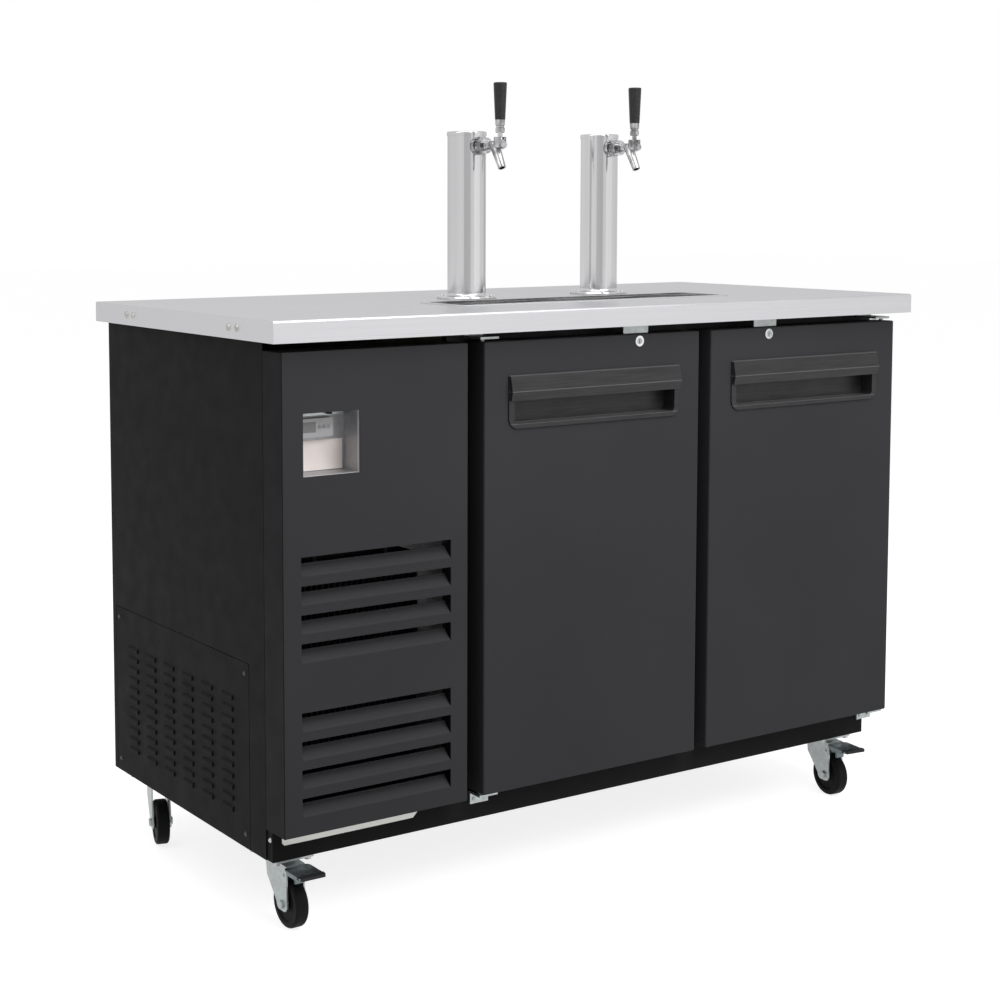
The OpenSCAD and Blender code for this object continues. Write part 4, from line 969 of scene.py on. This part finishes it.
@dataclass
class ControlWindow(Assembly):
    """What shows in the control window: the control's lens and keys, a bare plate, a strip and a sensor."""

    wall: float = 0.0015
    edge: float = 0.0004
    slope: float = 0.0004
    plate_side: float = 0.005
    plate_width: float = 0.102
    plate_height: float = 0.052
    plate_foot: float = 0.001
    plate_thick: float = 0.0012
    plate_rim: float = 0.002
    plate_sunk: float = 0.0003
    strip_side: float = 0.003
    strip_drop: float = 0.004
    strip_length: float = 0.100
    strip_height: float = 0.006
    strip_depth: float = 0.012
    strip_wall: float = 0.0012
    strip_hollow: float = 0.7
    sensor_side: float = 0.0685
    sensor_size: float = 0.008
    sensor_rim: float = 0.0015
    sensor_sunk: float = 0.001
    lens_low: Triple = (0.0062, 0.0004, -0.0238)
    lens_high: Triple = (0.0398, 0.0012, -0.0062)
    lens_rim: float = 0.0012
    lens_rise: float = 0.0003
    lens_edge: float = 0.0002
    key_count: int = 3
    key_side: float = 0.048
    key_pitch: float = 0.0085
    key_drop: float = 0.015
    key_radius: float = 0.0032
    key_height: float = 0.0012
    key_rim: float = 0.3
    key_dish: float = 0.0003
    key_edge: float = 0.0003

    @property
    def inside(self) -> tuple[Vector, Vector]:
        """The recess's corners inside its walls, lowest and highest, with the front of its back wall."""
        low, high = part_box("control_recess")
        return low + Vector((self.wall, 0.0, self.wall)), high - Vector((0.0, self.wall, self.wall))

    @property
    def corner(self) -> Vector:
        """The upper left front corner of the control's case."""
        low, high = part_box("thermostat")
        return Vector((low.x, low.y, high.z))

    def plate(self) -> None:
        """A blank pale plate on the recess's back wall."""
        low, high = self.inside
        foot = Vector((low.x + self.plate_side, high.y - self.plate_thick, low.z + self.plate_foot))
        top = foot + Vector((self.plate_width, self.plate_thick, self.plate_height))
        plate = self.bench.block("setting_plate", foot, top)
        self.bench.sink(plate, faces_front, self.plate_rim, self.slope, self.plate_sunk)
        self.bench.round_edges(plate, self.edge)
        self.bench.deliver(plate, "cabinet", PLATE)

    def strip(self) -> None:
        """The folded strip over the control, hollow from below."""
        low, high = self.inside
        top = Vector((low.x + self.strip_side + self.strip_length, high.y, high.z - self.strip_drop))
        foot = top - Vector((self.strip_length, self.strip_depth, self.strip_height))
        strip = self.bench.block("control_strip", foot, top)
        hollow = (0.0, 0.0, self.strip_height * self.strip_hollow)
        with self.bench.editing(strip, faces_down):
            bpy.ops.mesh.inset(thickness=self.strip_wall)
            bpy.ops.mesh.extrude_region_move(TRANSFORM_OT_translate={"value": hollow})
        self.bench.round_edges(strip, self.edge)
        self.bench.deliver(strip, "cabinet", ZINC)

    def sensor(self) -> None:
        """The sensor's dark block in front of the strip, under the recess's top."""
        low, high = self.inside
        size = self.sensor_size
        foot = Vector((low.x + self.sensor_side, high.y - self.strip_depth - size, high.z - size))
        sensor = self.bench.block("control_sensor", foot, foot + Vector((size, size, size)))
        self.bench.sink(sensor, faces_front, self.sensor_rim, self.slope, self.sensor_sunk)
        self.bench.round_edges(sensor, self.edge)
        self.bench.deliver(sensor, "cabinet", TRIM)

    def lens(self) -> None:
        """The control's lens, with a raised middle."""
        low, high = (self.corner + Vector(place) for place in (self.lens_low, self.lens_high))
        lens = self.bench.block("control_lens", low, high)
        with self.bench.editing(lens, faces_front):
            bpy.ops.mesh.inset(thickness=self.lens_rim)
            bpy.ops.transform.translate(value=(0.0, -self.lens_rise, 0.0))
        self.bench.round_edges(lens, self.lens_edge)
        self.bench.deliver(lens, "cabinet", LENS)

    def keys(self) -> None:
        """The row of dished keys beside the lens."""
        for number in range(self.key_count):
            side = self.key_side + number * self.key_pitch
            centre = self.corner + Vector((side, -self.key_height / 2, -self.key_drop))
            key = self.bench.drum(f"control_key_{number + 1}", centre, self.key_radius, self.key_height)
            with self.bench.editing(key, faces_front):
                bpy.ops.mesh.inset(thickness=self.key_radius * self.key_rim)
                bpy.ops.transform.translate(value=(0.0, self.key_dish, 0.0))
            self.bench.round_edges(key, self.key_edge)
            self.bench.deliver(key, "cabinet", KEY)

    def build(self) -> None:
        """Finishes the recess and fits it out."""
        self.bench.recoat(RECESS_RIM_HIGHLIGHT, "control_recess")
        self.plate()
        self.strip()
        self.sensor()
        self.lens()
        self.keys()


@dataclass
class Door(Assembly):
    """One door's folded skin and hollow gasket, in place of the plain ones."""

    side: Side
    sheet: float = 0.0015
    fold: float = 0.0032
    fold_steps: int = 4
    cup_inset_x: float = 0.0092
    cup_inset_z: float = 0.0052
    cam_from_face: float = 0.0125
    cam_slot_depth: float = 0.0055
    cam_slot_half: float = 0.024
    plug_radius: float = 0.006
    gasket_width: float = 0.018
    gasket_edge: float = 0.0012
    groove_width: float = 0.004
    groove_slope: float = 0.001
    groove_depth: float = 0.005
    handle_edge: float = 0.0012

    @property
    def body(self) -> str:
        """The body that the door's pieces move with."""
        return f"{self.side.value}_door"

    def skin(self) -> None:
        """The steel skin, folded back on four sides and open for the handle and the lock's cam."""
        bench = self.bench
        low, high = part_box(f"door_skin_{self.side.value}")
        cup_low, cup_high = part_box(f"door_handle_{self.side.value}")
        plug_low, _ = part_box(f"lock_plug_{self.side.value}")
        left, right = cup_low.x + self.cup_inset_x, cup_high.x - self.cup_inset_x
        bottom, top = cup_low.z + self.cup_inset_z, cup_high.z - self.cup_inset_z
        lock_x = plug_low.x + self.plug_radius
        slot_front = low.y + self.cam_from_face
        slot_back = slot_front + self.cam_slot_depth
        skin = bench.block(f"folded_skin_{self.side.value}", low, high)
        bench.remove(skin, faces_back)
        bench.bevel(skin, self.fold, self.fold_steps)
        for axis, places in (
            (Axis.X, (left, right)),
            (Axis.Z, (bottom, top)),
            (Axis.X, (lock_x - self.cam_slot_half, lock_x + self.cam_slot_half)),
            (Axis.Y, (slot_front, slot_back)),
        ):
            for place in places:
                bench.cut(skin, axis, place)
        bench.remove(
            skin,
            lambda normal, centre: normal.y < -SQUARE and left < centre.x < right and bottom < centre.z < top,
        )
        bench.remove(
            skin,
            lambda normal, centre: normal.z > SQUARE
            and abs(centre.x - lock_x) < self.cam_slot_half
            and slot_front < centre.y < slot_back,
        )
        bench.modify(skin, "SOLIDIFY", thickness=self.sheet, offset=-1.0, use_even_offset=True)
        bench.smooth(skin)
        bench.deliver(skin, self.body, CHARCOAL)
        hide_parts(f"door_skin_{self.side.value}")

    def gasket(self) -> None:
        """The magnetic gasket: a ring with a groove along the side that meets the frame."""
        low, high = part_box(f"door_gasket_{self.side.value}")
        ring = self.bench.block(f"hollow_gasket_{self.side.value}", low, high)
        with self.bench.editing(ring, lambda normal, _: abs(normal.y) > FACING):
            bpy.ops.mesh.inset(thickness=self.gasket_width, use_individual=True)
            bpy.ops.mesh.bridge_edge_loops()
        self.bench.sink(ring, faces_back, self.groove_width, self.groove_slope, self.groove_depth)
        self.bench.round_edges(ring, self.gasket_edge, segments=3)
        self.bench.deliver(ring, self.body, GASKET)
        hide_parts(f"door_gasket_{self.side.value}")

    def build(self) -> None:
        """Builds the door's skin and gasket, and finishes and softens its handle."""
        handle = f"door_handle_{self.side.value}"
        self.skin()
        self.gasket()
        self.bench.recoat(DOOR_HANDLE, handle)
        self.bench.soften(self.handle_edge, handle)


@dataclass
class Taps(Assembly):
    """The columns and their faucets."""

    TUBES = ("draught_columns", "column_caps")
    CAST = ("faucet_shanks", "faucet_bodies", "faucet_shaft_left", "faucet_shaft_right", "tap_lever_left",
            "tap_lever_right")

    def build(self) -> None:
        """Finishes the tubes and the cast pieces."""
        self.bench.recoat(TUBE, *self.TUBES)
        self.bench.recoat(FAUCET, *self.CAST)


@dataclass
class Casters(Assembly):
    """Dark grips on the tips of the front casters' pedals."""

    reach: float = 0.071
    half_width: float = 0.025
    lift: float = 0.014
    taper: float = 0.86
    plate_half: float = 0.0015
    grip_length: float = 0.013
    grip_wall: float = 0.0012
    grip_rim: float = 0.002
    grip_dish: float = 0.0005
    grip_edge: float = 0.0010
    fork_edge: float = 0.0005

    def grip(self, name: str, pivot: Vector, turn: float) -> None:
        """A moulded grip over the tip of one pedal, turned as the pedal is.

        Args:
            name: The pedal's node and body.
            pivot: A point on the pedal's axis.
            turn: Angle of the caster about Z, in radians.
        """
        wall = self.grip_wall
        half = self.plate_half + wall
        foot = pivot + Vector((-self.half_width - wall, -self.reach - wall, self.lift - half))
        top = pivot + Vector((self.half_width + wall, -self.reach + self.grip_length, self.lift + half))
        grip = self.bench.block(name.replace("caster_pedal", "pedal_grip"), foot, top)
        with self.bench.editing(grip, faces_up):
            for _ in range(2):
                bpy.ops.mesh.inset(thickness=self.grip_rim)
            bpy.ops.transform.translate(value=(0.0, 0.0, -self.grip_dish))
        with self.bench.editing(grip, faces_front):
            bpy.ops.transform.resize(value=(self.taper, 1.0, 1.0), center_override=pivot)
        self.bench.round_edges(grip, self.grip_edge, segments=3)
        self.bench.turn(grip, turn, pivot)
        self.bench.deliver(grip, name, TRIM)

    def build(self) -> None:
        """Adds the grips, finishes the pedals and softens the forks."""
        for side in Side:
            press = self.bench.joints[f"front_{side.value}_pedal_press"]
            along, across, _ = press["axis"]
            pedal = f"caster_pedal_front_{side.value}"
            self.bench.recoat(PEDAL, pedal)
            self.grip(pedal, Vector(press["pos_m"]), math.atan2(across, along))
            forks = (f"caster_fork_{place}_{side.value}" for place in ("front", "rear"))
            self.bench.soften(self.fork_edge, *forks)


@dataclass(frozen=True)
class Card:
    """An upright card beside the camera, which only polished surfaces mirror; a white wall has strength 1."""

    name: str
    place: Triple
    width: float
    height: float
    strength: float

    def stand(self) -> None:
        """Sets the card up, turned to the cooler."""
        Bench.take(None)
        facing = math.atan2(-self.place[0], self.place[1])
        bpy.ops.mesh.primitive_plane_add(size=1.0, location=self.place, rotation=(math.pi / 2, 0.0, facing))
        card = bpy.context.active_object
        card.name = self.name
        card.scale = (self.width, self.height, 1.0)
        graph = Graph(self.name)
        graph.shade({
            "Base Color": grey(0.0),
            "Specular IOR Level": 0.0,
            "Emission Color": grey(1.0),
            "Emission Strength": self.strength,
        })
        card.data.materials.append(graph.material)
        card.visible_camera = card.visible_diffuse = card.visible_shadow = card.visible_transmission = False


@dataclass(frozen=True)
class Lamp:
    """A soft square lamp: its place, side, power in watts and target, and whether polished surfaces mirror it."""

    name: str
    place: Triple
    size: float
    power: float
    target: Triple = (0.0, 0.0, 0.6)
    mirrored: bool = True

    def hang(self) -> None:
        """Hangs the lamp and points it at its target."""
        data = bpy.data.lights.new(self.name, "AREA")
        data.size = self.size
        data.energy = self.power
        lamp = bpy.data.objects.new(self.name, data)
        lamp.location = self.place
        lamp.visible_glossy = self.mirrored
        aim = Vector(self.target) - Vector(self.place)
        lamp.rotation_euler = aim.to_track_quat("-Z", "Y").to_euler()
        bpy.context.scene.collection.objects.link(lamp)


CARDS = (
    Card("dark_card", (-2.87, -4.63, 1.2), 4.0, 2.4, 0.62),
    Card("bright_card", (1.93, -3.51, 1.2), 3.0, 2.4, 1.04),
)

LAMPS = (
    Lamp("key_lamp", (0.4, -2.3, 3.2), 2.2, 54.0, target=(0.0, -0.3, 0.8)),
    Lamp("front_lamp", (0.1, -1.7, 1.5), 1.2, 9.0, target=(0.0, -0.3, 0.9), mirrored=False),
    Lamp("top_lamp", (-0.4, -0.6, 4.2), 3.0, 45.0),
    Lamp("side_lamp", (-2.6, -0.2, 2.6), 1.6, 10.0),
    Lamp("right_lamp", (3.0, 0.2, 2.2), 1.6, 16.0, mirrored=False),
    Lamp("back_lamp", (-0.8, 3.0, 2.2), 1.6, 14.0, mirrored=False),
)


@dataclass
class Studio:
    """White floor, cards, soft lamps and the camera at the photograph's angle."""

    eye: Triple = (-2.175, -2.924, 1.245)
    turn: float = -32.40
    tilt: float = 4.95
    roll: float = 0.16
    focal_pixels: float = 1816.0
    centre_pixel: tuple[float, float] = (380.0, 360.0)
    frame_pixels: float = 1000.0
    sensor: float = 36.0
    sight: float = 100.0
    floor_size: float = 60.0
    floor_tone: float = 0.40
    floor_roughness: float = 0.9
    fill: float = 0.38
    gloss: float = 0.85
    glow: float = 0.84
    shine: float = 0.75

    def camera(self) -> None:
        """The camera, from its measured place, turn and tilt."""
        data = bpy.data.cameras.new("camera")
        data.sensor_width = self.sensor
        data.lens = self.focal_pixels * self.sensor / self.frame_pixels
        data.shift_x = 0.5 - self.centre_pixel[0] / self.frame_pixels
        data.shift_y = self.centre_pixel[1] / self.frame_pixels - 0.5
        data.clip_end = self.sight
        camera = bpy.data.objects.new("camera", data)
        camera.location = self.eye
        camera.rotation_euler = (math.radians(90 - self.tilt), math.radians(self.roll), math.radians(self.turn))
        bpy.context.scene.collection.objects.link(camera)
        bpy.context.scene.camera = camera

    @staticmethod
    def strongest(tree: bpy.types.NodeTree, values: dict[str, float], least: float) -> Socket:
        """The greatest of a least value and of the values for the kinds of ray that arrive.

        Args:
            tree: The node tree.
            values: Value for each output of the light path.
            least: Value for all other rays.

        Returns:
            The greatest value.
        """
        path = add_node(tree, "LightPath", {})
        most: Socket | float = least
        for name, value in values.items():
            scaled = add_node(tree, "Math", {0: path.outputs[name], 1: value}, operation="MULTIPLY").outputs[0]
            most = add_node(tree, "Math", {0: scaled, 1: most}, operation="MAXIMUM").outputs[0]
        return most

    def world(self) -> None:
        """A world that is white where it is seen and gives a plain fill light."""
        world = bpy.data.worlds.new("studio")
        world.use_nodes = True
        tree = world.node_tree
        background = tree.nodes["Background"]
        background.inputs["Color"].default_value = grey(1.0)
        rays = {"Is Camera Ray": 1.0, "Is Transmission Ray": 1.0, "Is Glossy Ray": self.gloss}
        tree.links.new(self.strongest(tree, rays, self.fill), background.inputs["Strength"])
        bpy.context.scene.world = world

    def floor(self) -> None:
        """A white floor that keeps the cooler's shadow."""
        Bench.take(None)
        bpy.ops.mesh.primitive_plane_add(size=self.floor_size, location=(0.0, 0.0, 0.0))
        floor = bpy.context.active_object
        floor.name = "studio_floor"
        graph = Graph("studio_floor")
        graph.shade({
            "Base Color": grey(self.floor_tone),
            "Roughness": self.floor_roughness,
            "Specular IOR Level": 0.0,
            "Emission Color": grey(1.0),
        })
        rays = {"Is Camera Ray": self.glow, "Is Transmission Ray": self.glow, "Is Glossy Ray": self.shine}
        graph.tree.links.new(self.strongest(graph.tree, rays, 0.0), graph.shader.inputs["Emission Strength"])
        floor.data.materials.append(graph.material)

    def build(self) -> None:
        """Sets up camera, world, floor, cards and lamps."""
        self.camera()
        self.world()
        self.floor()
        for card in CARDS:
            card.stand()
        for lamp in LAMPS:
            lamp.hang()
        bpy.context.scene.view_settings.view_transform = "Standard"
        LOG.info("set up the studio")


def main() -> None:
    """Loads the frame, finishes its nodes, builds the new pieces and sets up the studio."""
    logging.basicConfig(level=logging.INFO, format="%(name)s: %(message)s")
    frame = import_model()
    shop = Paintshop()
    shop.coat_nodes(frame)
    bench = Bench(shop, frame)
    doors = [Door(bench, side) for side in Side]
    for assembly in (Cabinet(bench), VentCover(bench), ControlWindow(bench), *doors, Taps(bench), Casters(bench)):
        assembly.build()
    Studio().build()


if __name__ == "__main__":
    main()
